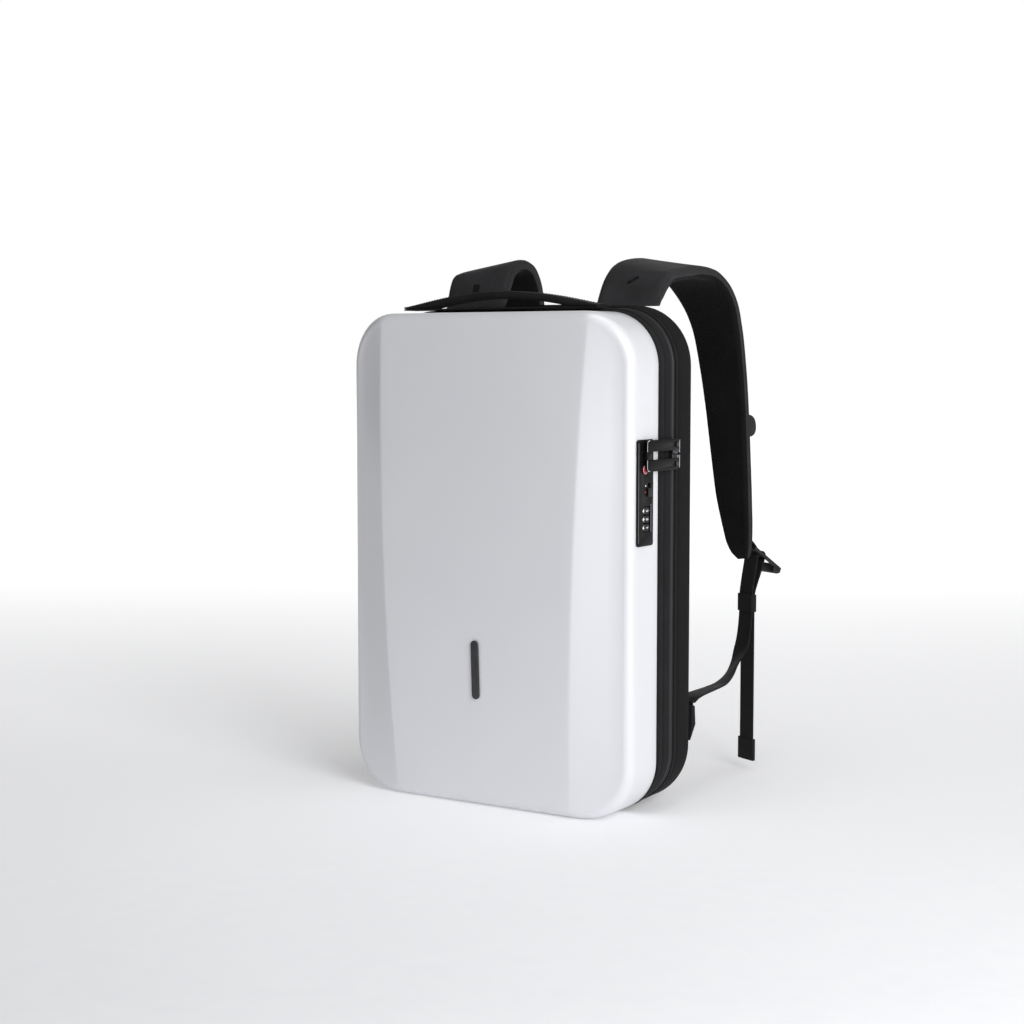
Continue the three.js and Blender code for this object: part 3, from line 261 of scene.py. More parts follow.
def finish_piece(piece, material, replaces=(), body="pack", sharp=38):
    mesh = piece.data
    mesh.materials.clear()
    mesh.materials.append(material)
    mesh.shade_smooth()
    mesh.set_sharp_from_angle(angle=math.radians(sharp))
    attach(piece, body)
    if replaces:
        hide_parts(*replaces)


def apply_modifiers(piece):
    graph = bpy.context.evaluated_depsgraph_get()
    mesh = bpy.data.meshes.new_from_object(piece.evaluated_get(graph))
    piece.modifiers.clear()
    piece.data = mesh


# A copy of a solid's mesh, with its doubled points joined and its faces cleaned
def solid_copy(node, suffix, clean):
    piece = bpy.data.objects.new(node + suffix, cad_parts[node].data.copy())
    bpy.context.scene.collection.objects.link(piece)
    work = bmesh.new()
    work.from_mesh(piece.data)
    bmesh.ops.remove_doubles(work, verts=work.verts, dist=1e-6)
    clean(work)
    work.to_mesh(piece.data)
    work.free()
    return piece


def merge_flat(work):
    bmesh.ops.dissolve_limit(work, angle_limit=math.radians(1), verts=work.verts, edges=work.edges)


def pair_triangles(work):
    flat = math.radians(40)
    bmesh.ops.join_triangles(work, faces=work.faces, angle_face_threshold=flat, angle_shape_threshold=math.pi)


def add_bevel(piece, radius, segments, angle):
    bevel = piece.modifiers.new("round", "BEVEL")
    bevel.width = radius * MM
    bevel.segments = segments
    bevel.limit_method = "ANGLE"
    bevel.angle_limit = math.radians(angle)


# A copy of a solid with its edges rounded, which stands for the solid
def rounded_copy(node, material, radius, segments, body="pack", angle=30):
    piece = solid_copy(node, "_shown", merge_flat)
    add_bevel(piece, radius, segments, angle)
    apply_modifiers(piece)
    finish_piece(piece, material, (node,), body, 45)


# Rings of points joined into a closed skin, with fans over its two ends
def loft(rings):
    rings = np.array(rings)
    count = rings.shape[1]
    faces = []
    for i in range(len(rings) - 1):
        for p in range(count):
            q = (p + 1) % count
            faces.append((i * count + p, i * count + q, (i + 1) * count + q, (i + 1) * count + p))
    last = (len(rings) - 1) * count
    faces.append(tuple(range(count))[::-1])
    faces.append(tuple(last + p for p in range(count)))
    return rings.reshape(-1, 3), faces


# A smooth curve through points, evenly stepped between them
def smooth_through(rows, steps):
    rows = np.array(rows, float)
    ends = [2 * rows[0] - rows[1], 2 * rows[-1] - rows[-2]]
    padded = np.vstack([ends[0], rows, ends[1]])
    spans = np.linalg.norm(np.diff(padded, axis=0), axis=1) ** 0.5
    spans = np.maximum(spans, 1e-3)
    result = []
    for k in range(steps + 1):
        where = (len(rows) - 1) * k / steps
        i = min(int(where), len(rows) - 2)
        w = where - i
        before, here, there, after = padded[i:i + 4]
        d0, d1, d2 = spans[i:i + 3]
        leave = (here - before) / d0 - (there - before) / (d0 + d1) + (there - here) / d1
        arrive = (there - here) / d1 - (after - here) / (d1 + d2) + (after - there) / d2
        leave, arrive = leave * d1, arrive * d1
        bend = -3 * here + 3 * there - 2 * leave - arrive
        curl = 2 * here - 2 * there + leave + arrive
        result.append(here + leave * w + bend * w * w + curl * w ** 3)
    return np.array(result)


def tangents(points):
    steps = np.gradient(points, axis=0)
    return steps / np.linalg.norm(steps, axis=1)[:, None]


# The part of a direction that is square to another
def square_to(across, tangent):
    return unit(across - tangent * np.dot(across, tangent))


# Materials


def link(tree, source, target):
    tree.links.new(source, target)


def add_node(tree, kind, **values):
    node = tree.nodes.new(kind)
    for key, value in values.items():
        setattr(node, key, value)
    return node


def base_material(name, color, roughness, metallic=0.0, sheen=0.0, coat=0.0, specular=0.5):
    material = bpy.data.materials.new(name)
    material.use_nodes = True
    shader = material.node_tree.nodes["Principled BSDF"]
    shader.inputs["Base Color"].default_value = (*color, 1)
    shader.inputs["Roughness"].default_value = roughness
    shader.inputs["Metallic"].default_value = metallic
    shader.inputs["Specular IOR Level"].default_value = specular
    shader.inputs["Sheen Weight"].default_value = sheen
    shader.inputs["Sheen Roughness"].default_value = 0.4
    shader.inputs["Coat Weight"].default_value = coat
    shader.inputs["Coat Roughness"].default_value = 0.15
    return material, material.node_tree, shader


def coordinates(tree):
    return add_node(tree, "ShaderNodeTexCoord").outputs["Object"]


def noise(tree, vector, scale, detail=3.0, roughness=0.55):
    node = add_node(tree, "ShaderNodeTexNoise")
    node.inputs["Scale"].default_value = scale
    node.inputs["Detail"].default_value = detail
    node.inputs["Roughness"].default_value = roughness
    link(tree, vector, node.inputs["Vector"])
    return node.outputs["Fac"]


def ramp(tree, value, stops):
    node = add_node(tree, "ShaderNodeValToRGB")
    elements = node.color_ramp.elements
    while len(elements) < len(stops):
        elements.new(0.5)
    for element, (where, color) in zip(elements, stops):
        element.position = where
        element.color = (*color, 1)
    link(tree, value, node.inputs["Fac"])
    return node.outputs["Color"]


def spread(tree, value, low, high, start=0.3, end=0.7):
    node = add_node(tree, "ShaderNodeMapRange")
    node.inputs["From Min"].default_value = start
    node.inputs["From Max"].default_value = end
    node.inputs["To Min"].default_value = low
    node.inputs["To Max"].default_value = high
    link(tree, value, node.inputs["Value"])
    return node.outputs["Result"]


def math_node(tree, operation, a, b=None):
    node = add_node(tree, "ShaderNodeMath", operation=operation)
    for socket, value in zip(node.inputs, (a, b)):
        if value is None:
            continue
        if isinstance(value, (int, float)):
            socket.default_value = value
        else:
            link(tree, value, socket)
    return node.outputs["Value"]


def bump(tree, shader, height, strength, distance):
    node = add_node(tree, "ShaderNodeBump")
    node.inputs["Strength"].default_value = strength
    node.inputs["Distance"].default_value = distance
    link(tree, height, node.inputs["Height"])
    link(tree, node.outputs["Normal"], shader.inputs["Normal"])


# Woven cloth: crossed sine threads, a little noise in colour and height
def woven(name, dark, light, threads, roughness=0.85, strength=0.4, sheen=0.04):
    material, tree, shader = base_material(name, light, roughness, sheen=sheen, specular=0.18)
    place = coordinates(tree)
    split = add_node(tree, "ShaderNodeSeparateXYZ")
    link(tree, place, split.inputs["Vector"])
    across = math_node(tree, "ADD", split.outputs["X"], split.outputs["Y"])
    warp = math_node(tree, "SINE", math_node(tree, "MULTIPLY", across, threads))
    weft = math_node(tree, "SINE", math_node(tree, "MULTIPLY", split.outputs["Z"], threads))
    grid = math_node(tree, "MULTIPLY", warp, weft)
    grain = noise(tree, place, 900.0, 2.0)
    height = math_node(tree, "ADD", math_node(tree, "MULTIPLY", grid, 0.5), grain)
    cloudy = noise(tree, place, 30.0, 4.0)
    shade = math_node(tree, "ADD", math_node(tree, "MULTIPLY", grid, 0.18), cloudy)
    link(tree, ramp(tree, shade, [(0.3, dark), (0.72, light)]), shader.inputs["Base Color"])
    link(tree, spread(tree, cloudy, roughness - 0.08, roughness + 0.08), shader.inputs["Roughness"])
    bump(tree, shader, height, strength, CLOTH_RELIEF)
    return material


# Pearl paint: fine flakes over slow clouds in its tint, under a clear coat
def pearl():
    material, tree, shader = base_material(
        "pearl_shell", (0.74, 0.745, 0.775), 0.36, metallic=0.12, coat=0.35)
    place = coordinates(tree)
    flakes = noise(tree, place, 2600.0, 1.0)
    clouds = noise(tree, place, 7.0, 2.0)
    tint = [(0.25, (0.715, 0.722, 0.757)), (0.8, (0.765, 0.768, 0.79))]
    half_flakes = math_node(tree, "MULTIPLY", flakes, 0.5)
    half_clouds = math_node(tree, "MULTIPLY", clouds, 0.5)
    shade = math_node(tree, "ADD", half_flakes, half_clouds)
    link(tree, ramp(tree, shade, tint), shader.inputs["Base Color"])
    link(tree, spread(tree, clouds, 0.33, 0.4), shader.inputs["Roughness"])
    bump(tree, shader, flakes, 0.02, FINE_RELIEF)
    return material


# Smooth plastic or metal, with a fine grain and slow wear in its tone
def moulded(name, color, roughness, metallic=0.0, coat=0.0, specular=0.4):
    material, tree, shader = base_material(name, color, roughness, metallic, coat=coat, specular=specular)
    place = coordinates(tree)
    fine = noise(tree, place, 1500.0, 2.0)
    wear = noise(tree, place, 60.0, 4.0)
    bright = tuple(min(1.0, c * 1.35 + 0.004) for c in color)
    link(tree, ramp(tree, wear, [(0.35, color), (0.75, bright)]), shader.inputs["Base Color"])
    link(tree, spread(tree, wear, roughness - 0.05, roughness + 0.07), shader.inputs["Roughness"])
    bump(tree, shader, fine, 0.05, FINE_RELIEF)
    return material


looks = {
    "shell": pearl(),
    "cloth": woven("black_cloth", (0.005, 0.005, 0.0055), (0.013, 0.013, 0.0145), 5200.0, sheen=0.02),
    "case": woven("case_cloth", (0.003, 0.003, 0.0035), (0.008, 0.008, 0.009), 5200.0, sheen=0.01),
    "piping": woven("piping_cloth", (0.015, 0.015, 0.016), (0.03, 0.03, 0.032), 7000.0, roughness=0.7),
    "pad_outer": woven("pad_cloth", (0.017, 0.017, 0.018), (0.033, 0.033, 0.036), 4800.0, roughness=0.68),
    "mesh": woven(
        "spacer_mesh", (0.0015, 0.0015, 0.0015), (0.007, 0.007, 0.0075), 2400.0,
        roughness=0.95, strength=0.8),
    "web": woven(
        "webbing", (0.005, 0.005, 0.0055), (0.014, 0.014, 0.015), 3600.0,
        roughness=0.75, strength=0.6),
    "coil": moulded("zipper_coil", (0.009, 0.009, 0.01), 0.5),
    "plastic": moulded("moulded_black", (0.007, 0.007, 0.0075), 0.45),
    "lock": moulded("lock_black", (0.003, 0.003, 0.0033), 0.34, specular=0.12),
    "gunmetal": moulded("gunmetal", (0.07, 0.07, 0.074), 0.3, metallic=0.9),
    "badge": moulded("badge_metal", (0.05, 0.05, 0.053), 0.35, metallic=0.6),
    "thread": moulded("thread", (0.014, 0.014, 0.015), 0.7),
    "rim_red": moulded("pink_rim", (0.75, 0.3, 0.34), 0.25, metallic=0.6),
    "red": moulded("red_ring", (0.42, 0.03, 0.05), 0.3, coat=0.5),
    "white": moulded("white_ink", (0.8, 0.8, 0.8), 0.5),
    "red_ink": moulded("red_ink", (0.5, 0.02, 0.03), 0.5),
    "dark_rim": moulded("dark_rim", (0.09, 0.09, 0.093), 0.4),
    # A bright metal that paints the highlights on the pull tabs and sliders
    "rim": moulded("painted_highlight_metal", (0.6, 0.6, 0.62), 0.22, metallic=0.95),
}


# Trays and bands that follow the pack's outline


def side_stations(outline, side_steps=SIDE_STEPS):
    x = outline["half"] - outline["corner"]
    low = outline["foot"] + outline["corner"]
    high = outline["top"] - outline["corner"]
    stations = []
    for i in range(CORNER_STEPS + 1):
        angle = -math.pi / 2 * (1 - i / CORNER_STEPS)
        stations.append((x, low, math.cos(angle), math.sin(angle)))
    for i in range(1, side_steps):
        stations.append((x, mix(low, high, i / side_steps), 1.0, 0.0))
    for i in range(CORNER_STEPS + 1):
        angle = math.pi / 2 * i / CORNER_STEPS
        stations.append((x, high, math.cos(angle), math.sin(angle)))
    return stations


# The stations all round an outline: up its right side, then down its left side
def stations_around(outline, side_steps):
    right = side_stations(outline, side_steps)
    left = [(-x, z, -nx, nz) for x, z, nx, nz in reversed(right)]
    return right + left


def station_point(outline, station, inset, y):
    x, z, nx, nz = station
    reach = outline["corner"] - inset
    return (x + nx * reach, y, z + nz * reach)


# Outer skin of a tray. Its profile is a list of (inset, depth, flatness) steps from the face's edge
# to the rim.
def tray_skin(outline, fillet, face_y, towards, depth_at, columns, profile):
    points = []
    faces = []

    def place(x, depth, z):
        points.append((x, face_y + towards * depth, z))
        return len(points) - 1

    grid = []
    for station in side_stations(outline, SIDE_STEPS):
        end_x, _, end_z = station_point(outline, station, fillet, 0)
        row = []
        for x in columns(end_x, end_z):
            depth = depth_at(x, end_z)
            row.append((place(x, depth, end_z), x, depth, station))
        grid.append(row)
    for below, above in zip(grid, grid[1:]):
        for j in range(len(below) - 1):
            faces.append((below[j][0], below[j + 1][0], above[j + 1][0], above[j][0]))

    edge = []
    for index, x, depth, station in grid[0]:
        edge.append((index, depth, (x, station[1], 0.0, -1.0)))
    for row in grid[1:-1]:
        index, _, depth, station = row[-1]
        edge.append((index, depth, station))
    for index, x, depth, station in reversed(grid[-1]):
        edge.append((index, depth, (x, station[1], 0.0, 1.0)))
    for row in reversed(grid[1:-1]):
        index, _, depth, (x, z, nx, nz) = row[0]
        edge.append((index, depth, (-x, z, -nx, nz)))

    loop = [index for index, _, _ in edge]
    for inset, rolled, flat in profile:
        following = []
        for _, depth, station in edge:
            x, _, z = station_point(outline, station, inset, 0)
            following.append(place(x, mix(depth + rolled, rolled, flat), z))
        for m, point in enumerate(following):
            after = (m + 1) % len(following)
            faces.append((loop[m], point, following[after], loop[after]))
        loop = following
    return points, faces


# A tray's profile: its fillet, its wall at some shares of its depth, then its rolled rim
def tray_profile(fillet, steps, depth, shares, rim):
    rows = []
    for k in range(1, steps + 1):
        angle = math.pi / 2 * k / steps
        rows.append((fillet * (1 - math.sin(angle)), fillet * (1 - math.cos(angle)), 0.0))
    rows += [(0.0, mix(fillet, depth, share), share) for share in shares]
    rows += [(inset, depth - before, 1.0) for inset, before in rim]
    return rows


def crease_at(z):
    return mix(CREASE_BOTTOM, CREASE_TOP, z / SHELL_HEIGHT)


def dome_at(z):
    from_middle = z / (SHELL_HEIGHT / 2) - 1
    return PANEL_STEP + DOME_RISE * (1 - from_middle * from_middle)


# The panel's depth, with the crease rounded over a short width
def shell_depth(x, z):
    crease = crease_at(z)
    run = SHELL_HALF - SHELL_FILLET - crease
    past = abs(x) - crease
    softened = 0.5 * (past + math.sqrt(past * past + CREASE_SOFT * CREASE_SOFT))
    return -dome_at(z) * (1 - softened / run)


# Where the panel's points lie across it: close together round each crease
def shell_columns(end, z):
    crease = min(crease_at(z), end - CREASE_CLEAR)
    positive = [crease * i / 6 for i in range(1, 6)]
    positive += [crease + offset for offset in CREASE_OFFSETS]
    positive += [mix(crease + CREASE_OFFSETS[-1], end, share) for share in (0.34, 0.67, 1)]
    return [-x for x in reversed(positive)] + [0] + positive


def front_shell():
    profile = tray_profile(SHELL_FILLET, 10, RIM_Y - SHELL_EDGE_Y, (0.25, 0.5, 0.75), SHELL_RIM)
    points, faces = tray_skin(SHELL, SHELL_FILLET, SHELL_EDGE_Y, 1, shell_depth, shell_columns, profile)
    shell = make_piece("shell_skin", points, faces, looks["shell"], ("front_shell",), sharp=60)
    cut_opening(shell, LOCK_OPENING)


# Cuts a square opening in the wall on the lock's side: (low y, high y, low z, high z)
def cut_opening(piece, opening):
    work = bmesh.new()
    work.from_mesh(piece.data)
    wall_x = (SHELL_HALF - 0.2) * MM
    for axis, value in zip((1, 1, 2, 2), opening):
        wall = [face for face in work.faces if face.calc_center_median().x > wall_x]
        touched = set(wall)
        for face in wall:
            touched.update(face.edges)
            touched.update(face.verts)
        place = [0.0, 0.0, 0.0]
        place[axis] = value * MM
        normal = [0.0, 0.0, 0.0]
        normal[axis] = 1.0
        bmesh.ops.bisect_plane(work, geom=list(touched), plane_co=place, plane_no=normal)
    low_y, high_y, low_z, high_z = [value * MM for value in opening]
    inside = []
    for face in work.faces:
        middle = face.calc_center_median()
        if middle.x > wall_x and low_y < middle.y < high_y and low_z < middle.z < high_z:
            inside.append(face)
    bmesh.ops.delete(work, geom=inside, context="FACES")
    work.to_mesh(piece.data)
    work.free()


# A band all round the outline from a closed section of (inset, y)
def band(name, outline, section, material, replaces=(), sharp=38):
    around = stations_around(outline, BAND_SIDE_STEPS)
    points = [station_point(outline, s, inset, y) for s in around for inset, y in section]
    count = len(section)
    faces = []
    for m in range(len(around)):
        after = (m + 1) % len(around)
        for p in range(count):
            q = (p + 1) % count
            faces.append((m * count + p, after * count + p, after * count + q, m * count + q))
    make_piece(name, points, faces, material, replaces, sharp=sharp)


# Section of a soft band: a crowned face between two rounded edges, and a flat inside
def soft_section(front, back, wall, crown, edge):
    section = []
    for k in range(SOFT_STEPS + 1):
        share = k / SOFT_STEPS
        lift = crown * math.sin(math.pi * share) ** 0.6
        drop = edge * (abs(2 * share - 1) ** 6)
        section.append((drop - lift, mix(front, back, share)))
    section.append((wall, back))
    section.append((wall, front))
    return section


def bands():
    for name, share, front, back, wall, crown, edge, solid in BANDS:
        section = soft_section(front, back, wall, crown, edge)
        band(name, mix_outline(share), section, looks["cloth"], (solid,))


def case_columns(end, _):
    return [end * (i / 8 - 1) for i in range(17)]


# The case's back is flat, so that the pad lies on it
def case_depth(*_):
    return 0.0


def back_case():
    profile = tray_profile(CASE_FILLET, 8, CASE_BACK - CASE_FRONT, (0.3, 0.6), CASE_RIM)
    points, faces = tray_skin(CASE, CASE_FILLET, CASE_BACK, -1, case_depth, case_columns, profile)
    make_piece("case_skin", points, faces, looks["case"], ("back_case",), sharp=60)


# Back pad: a crowned cushion with a rounded edge
def back_pad():
    low, high = [np.array(corner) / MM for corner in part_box("back_panel")]
    half_width = (high[0] - low[0]) / 2
    half_height = (high[2] - low[2]) / 2
    middle_z = (high[2] + low[2]) / 2
    depth = high[1] - low[1]
    outline = {"half": half_width, "foot": low[2], "top": high[2], "corner": CUSHION_CORNER}
    around = stations_around(outline, CUSHION_SIDE_STEPS)
    rings = []
    for inset, lift in CUSHION_ROWS + [(26, depth - 0.4), (50, depth), (80, depth)]:
        share_x = (half_width - inset) / half_width
        share_z = (half_height - inset) / half_height
        ring = []
        for station in around:
            x, _, z = station_point(outline, station, 0, 0)
            ring.append((x * share_x, low[1] + lift, middle_z + (z - middle_z) * share_z))
        rings.append(ring)
    points, faces = loft(rings)
    pad = make_piece("back_cushion", points, faces, looks["mesh"], ("back_panel",), sharp=80)


# Top handle


# The grip's top above its ends, and its slope, at a share u from -1 to 1 along it
def grip_rise(u):
    arch = max(1 - u * u, 0.0)
    slope = -2 * u * HANDLE_RISE * HANDLE_EASE * arch ** (HANDLE_EASE - 1) / (HANDLE_LENGTH / 2)
    return HANDLE_RISE * arch ** HANDLE_EASE, math.atan(slope)


def handle():
    seat = mix_outline(0.5)["top"] + GAP
    across = np.array([0, 1.0, 0])
    up = np.array([0, 0, 1.0])
    half = HANDLE_LENGTH / 2
    strip = []
    for k in range(STRIP_STEPS + 1):
        u = -1 + 2 * k / STRIP_STEPS
        centre = np.array([HANDLE_SHIFT + u * half, HANDLE_Y, seat + STRIP_THICKNESS / 2])
        strip.append(strap_ring(centre, across, up, HANDLE_WIDTH, STRIP_THICKNESS, 0.3))
    points, faces = loft(strip)
    make_piece("handle_strip", points, faces, looks["web"], ("handle_base",))

    end_top = seat + STRIP_THICKNESS + GAP + GRIP_END
    rings = []
    for k in range(GRIP_STEPS + 1):
        u = -1 + 2 * k / GRIP_STEPS
        rise, slope = grip_rise(u)
        thickness = min(GRIP_MIDDLE, GRIP_END + rise)
        tilted = np.array([-math.sin(slope), 0, math.cos(slope)])
        top = np.array([HANDLE_SHIFT + u * half, HANDLE_Y, end_top + rise])
        centre = top - tilted * thickness / 2
        rings.append(strap_ring(centre, across, tilted, HANDLE_WIDTH, thickness, 0.45, crown=0.3))
    points, faces = loft(rings)
    make_piece("handle_strap", points, faces, looks["web"], ("handle_grip",))


# One section of a strap: a flat ring with rounded edges and, if asked, a crowned middle
def strap_ring(centre, across, up, width, thickness, roundness, crown=0.0):
    edge_steps = 4
    flat_steps = 6
    radius = min(thickness, width) * roundness
    ring = []
    for sx, sy, start in ((1, -1, -90), (1, 1, 0), (-1, 1, 90), (-1, -1, 180)):
        for i in range(edge_steps + 1):
            angle = math.radians(start + 90 * i / edge_steps)
            x = sx * (width / 2 - radius) + radius * math.cos(angle)
            y = sy * (thickness / 2 - radius) + radius * math.sin(angle)
            ring.append((x, y))
        if (sx, sy) in ((1, 1), (-1, -1)):
            span = width / 2 - radius
            for i in range(1, flat_steps):
                share = i / flat_steps
                lift = crown * math.sin(math.pi * share)
                ring.append((sy * mix(span, -span, share), sy * (thickness / 2 + lift)))
    return [centre + across * x + up * y for x, y in ring]


# Shoulder pads


# Sections along a pad: where each one lies, which way it faces and how wide and thick it is
def pad_sections(strap):
    side, reach, splay = strap["side"], strap["reach"], strap["splay"]
    root_y = CASE_BACK - PAD_SETBACK
    root_z = CASE["top"] - PAD_SINK + GAP
    middles = []
    acrosses = []
    for back, up, down, out, wide, _, tilt, turn in PAD_ROWS:
        middles.append((
            side * (SHELL_HALF - PAD_INSET + splay * out),
            root_y + reach * back,
            root_z + PAD_RISE * up - PAD_DROP * down,
        ))
        acrosses.append((side * PAD_WIDTH * wide, -PAD_TURN * turn, -PAD_TILT * tilt))
    route = smooth_through(middles, PAD_STEPS)
    sides = smooth_through(acrosses, PAD_STEPS)
    thick = smooth_through([(row[5] * PAD_THICKNESS, 0, 0) for row in PAD_ROWS], PAD_STEPS)[:, 0]
    lean = tangents(route)
    lean[0] = (0, 0, 1)
    sections = []
    for k in range(PAD_STEPS + 1):
        across = square_to(sides[k], lean[k])
        inward = np.cross(lean[k], across) * side
        sections.append({
            "centre": route[k] + inward * thick[k] / 2,
            "across": across,
            "inward": inward,
            "tangent": lean[k],
            "width": np.linalg.norm(sides[k]),
            "thickness": thick[k],
        })
    return sections


# One face of a pad and the rolled edge after it, in (across, height) rows, with a seam near each edge
def pad_face(width, thickness, seam_depth, seam_width):
    half = width / 2
    edge = min(thickness * 0.5, half * 0.6)
    roll = edge * PAD_ROLL
    rows = []
    for k in range(PAD_FACE_STEPS + 1):
        x = -half + roll + (width - 2 * roll) * k / PAD_FACE_STEPS
        from_edge = half - abs(x)
        groove = seam_depth * math.exp(-((from_edge - PAD_SEAM) / seam_width) ** 2)
        shoulder = edge * 0.42 * (1 - min(1, from_edge / (edge * 0.9))) ** 2
        rows.append((x, thickness / 2 - groove - shoulder))
    for k in range(1, PAD_ROLL_STEPS):
        angle = math.pi / 2 - math.pi * k / PAD_ROLL_STEPS
        rows.append((half - roll + roll * math.cos(angle), thickness * 0.36 * math.sin(angle)))
    return rows


# Section of a pad: its outer face, then its inner face with a shallower seam
def pad_profile(width, thickness):
    outer = pad_face(width, thickness, 0.55, 0.9)
    inner = pad_face(width, thickness, 0.4, 1.1)
    return outer + [(-x, -y) for x, y in inner]


def shoulder_pad(name, sections):
    rings = []
    for section in sections:
        rows = pad_profile(section["width"], section["thickness"])
        ring = [section["centre"] + section["across"] * x - section["inward"] * y for x, y in rows]
        rings.append(ring)
    points, faces = loft(rings)
    solid = f"shoulder_pad_{name}"
    pad = make_piece(f"pad_{name}", points, faces, looks["pad_outer"], (solid,), sharp=80)
    pad.data.materials.append(looks["mesh"])
    count = len(rings[0])
    mesh_first = PAD_FACE_STEPS + PAD_ROLL_STEPS - 3
    mesh_last = 2 * PAD_FACE_STEPS + PAD_ROLL_STEPS
    for index, polygon in enumerate(pad.data.polygons):
        spot = index % count if index < count * (len(rings) - 1) else 0
        polygon.material_index = 1 if mesh_first <= spot <= mesh_last else 0


# Webbing, stitches, buckles and small parts


# A copy of a ribbon solid with rounded long edges and smooth bends
def ribbon_copy(node, material):
    piece = solid_copy(node, "_woven", pair_triangles)
    add_bevel(piece, RIBBON_ROUND, 2, 55)
    smooth = piece.modifiers.new("smooth", "SUBSURF")
    smooth.levels = 1
    smooth.render_levels = 1
    apply_modifiers(piece)
    finish_piece(piece, material, (node,), sharp=60)


# The point at a distance along a path
def point_along(rows, reach, where):
    return np.array([np.interp(where, reach, rows[:, axis]) for axis in range(3)])


# A row of stitches along points, each a short rounded thread that lies on the surface
def stitches(name, route, outward, material, pitch=3.2, length=2.2, radius=0.28):
    route = np.array(route)
    outward = np.array(outward)
    spans = np.linalg.norm(np.diff(route, axis=0), axis=1)
    reach = np.concatenate([[0], np.cumsum(spans)])
    points = []
    faces = []
    start = pitch / 2
    while start + length < reach[-1]:
        rings = []
        for share, thick, lift in STITCH_SECTIONS:
            where = start + length * share
            spot = point_along(route, reach, where)
            out = unit(point_along(outward, reach, where))
            along = unit(point_along(route, reach, where + 0.5) - point_along(route, reach, where - 0.5))
            side = np.cross(out, along)
            ring = []
            for k in range(STITCH_SIDES):
                angle = 2 * math.pi * k / STITCH_SIDES
                height = radius * (lift + thick * math.sin(angle))
                ring.append(spot + out * height + side * radius * thick * math.cos(angle))
            rings.append(ring)
        first = len(points)
        ring_points, ring_faces = loft(rings)
        points.extend(ring_points.tolist())
        faces.extend(tuple(first + i for i in face) for face in ring_faces)
        start += pitch
    make_piece(name, points, faces, material, sharp=80)


def pad_trim(name, sections):
    for edge, label in ((1, "far"), (-1, "near")):
        route = []
        out = []
        for section in sections[4:-14]:
            half = section["width"] / 2 - PAD_SEAM
            spot = section["centre"] + section["across"] * half * edge
            route.append(spot - section["inward"] * (section["thickness"] / 2 - 0.45))
            out.append(-section["inward"])
        stitches(f"pad_stitches_{name}_{label}", route, out, looks["thread"])
    piping(name, sections)
    bar_tack(name, sections)


# The bound edge of a pad: a thin roll sewn all along both sides
def piping(name, sections):
    sides = 10
    for edge, label in ((-1, "near"), (1, "far")):
        rings = []
        for section in sections[1:-3]:
            across, inward = section["across"], section["inward"]
            radius = min(1.7, section["thickness"] * 0.3)
            half = section["width"] / 2 - radius * 0.75
            middle = section["centre"] + across * half * edge
            middle = middle - inward * section["thickness"] * 0.2
            ring = []
            for k in range(sides):
                angle = 2 * math.pi * k / sides
                ring.append(middle + across * radius * math.cos(angle) + inward * radius * math.sin(angle))
            rings.append(ring)
        points, faces = loft(rings)
        make_piece(f"pad_edge_{name}_{label}", points, faces, looks["piping"], sharp=80)


# A block of dense stitching on the front of the pad, in the darkest cloth: real stitching, and painted shade
# of a dent in the pad
def bar_tack(name, sections):
    place, shift, wide, high, slant = BAR_TACKS_PAINTED_SHADE[name]
    section = sections[place]
    out = -section["inward"]
    base = section["centre"] + out * (section["thickness"] / 2 + 0.05)
    base = base - section["across"] * section["width"] * shift
    lean = unit(section["across"] * 0.75 + section["tangent"] * slant)
    side = np.cross(out, lean)
    rows = int(high / 0.8)
    for k in range(rows):
        offset = side * (k / (rows - 1) - 0.5) * high
        route = [base + offset - lean * wide / 2, base + offset + lean * wide / 2]
        stitches(
            f"bar_tack_{name}_{k}", route, [out, out], looks["mesh"],
            pitch=1.5, length=1.3, radius=0.34)


def small_parts():
    for name in STRAPS:
        ribbon_copy(f"adjuster_web_{name}", looks["web"])
        ribbon_copy(f"pad_end_web_{name}", looks["web"])
        rounded_copy(f"web_fold_{name}", looks["web"], 1.1, 3)
        rounded_copy(f"web_keeper_{name}", looks["web"], 0.4, 2)
        rounded_copy(f"corner_tab_{name}", looks["cloth"], 0.7, 3)
        rounded_copy(f"ladder_buckle_{name}", looks["plastic"], 0.7, 3)
        rounded_copy(f"strap_clip_{name}", looks["plastic"], 0.7, 3)
        fold_stitches(name)
    rounded_copy("badge", looks["badge"], 0.4, 3, angle=60)


# Rows of stitches through each folded webbing end
def fold_stitches(name):
    low, high = [np.array(corner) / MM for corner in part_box(f"web_fold_{name}")]
    side = STRAPS[name]["side"]
    across = np.array([side * math.cos(WEB_TURN), -math.sin(WEB_TURN), 0])
    back = np.array([side * math.sin(WEB_TURN), math.cos(WEB_TURN), 0])
    middle = (low + high) / 2
    for face in (-1, 1):
        out = back * face
        for z in (low[2] + 4, high[2] - 4):
            base = middle + out * 2.02
            base[2] = z
            route = [base - across * 8, base + across * 8]
            label = f"fold_stitches_{name}_{'back' if face > 0 else 'front'}_{int(z)}"
            stitches(label, route, [out, out], looks["thread"], pitch=2.4, length=1.8, radius=0.25)


def handle_stitches():
    half = HANDLE_LENGTH / 2
    seat = mix_outline(0.5)["top"] + GAP + STRIP_THICKNESS + GAP + GRIP_END
    steps = 60
    for label, offset in (("front", -8.2), ("back", 8.2)):
        route = []
        out = []
        for k in range(steps + 1):
            u = -0.97 + 1.94 * k / steps
            rise, slope = grip_rise(u)
            route.append((HANDLE_SHIFT + u * half, HANDLE_Y + offset, seat + rise + 0.05))
            out.append((-math.sin(slope), 0, math.cos(slope)))
        stitches(f"handle_stitches_{label}", route, out, looks["thread"])


# Lock


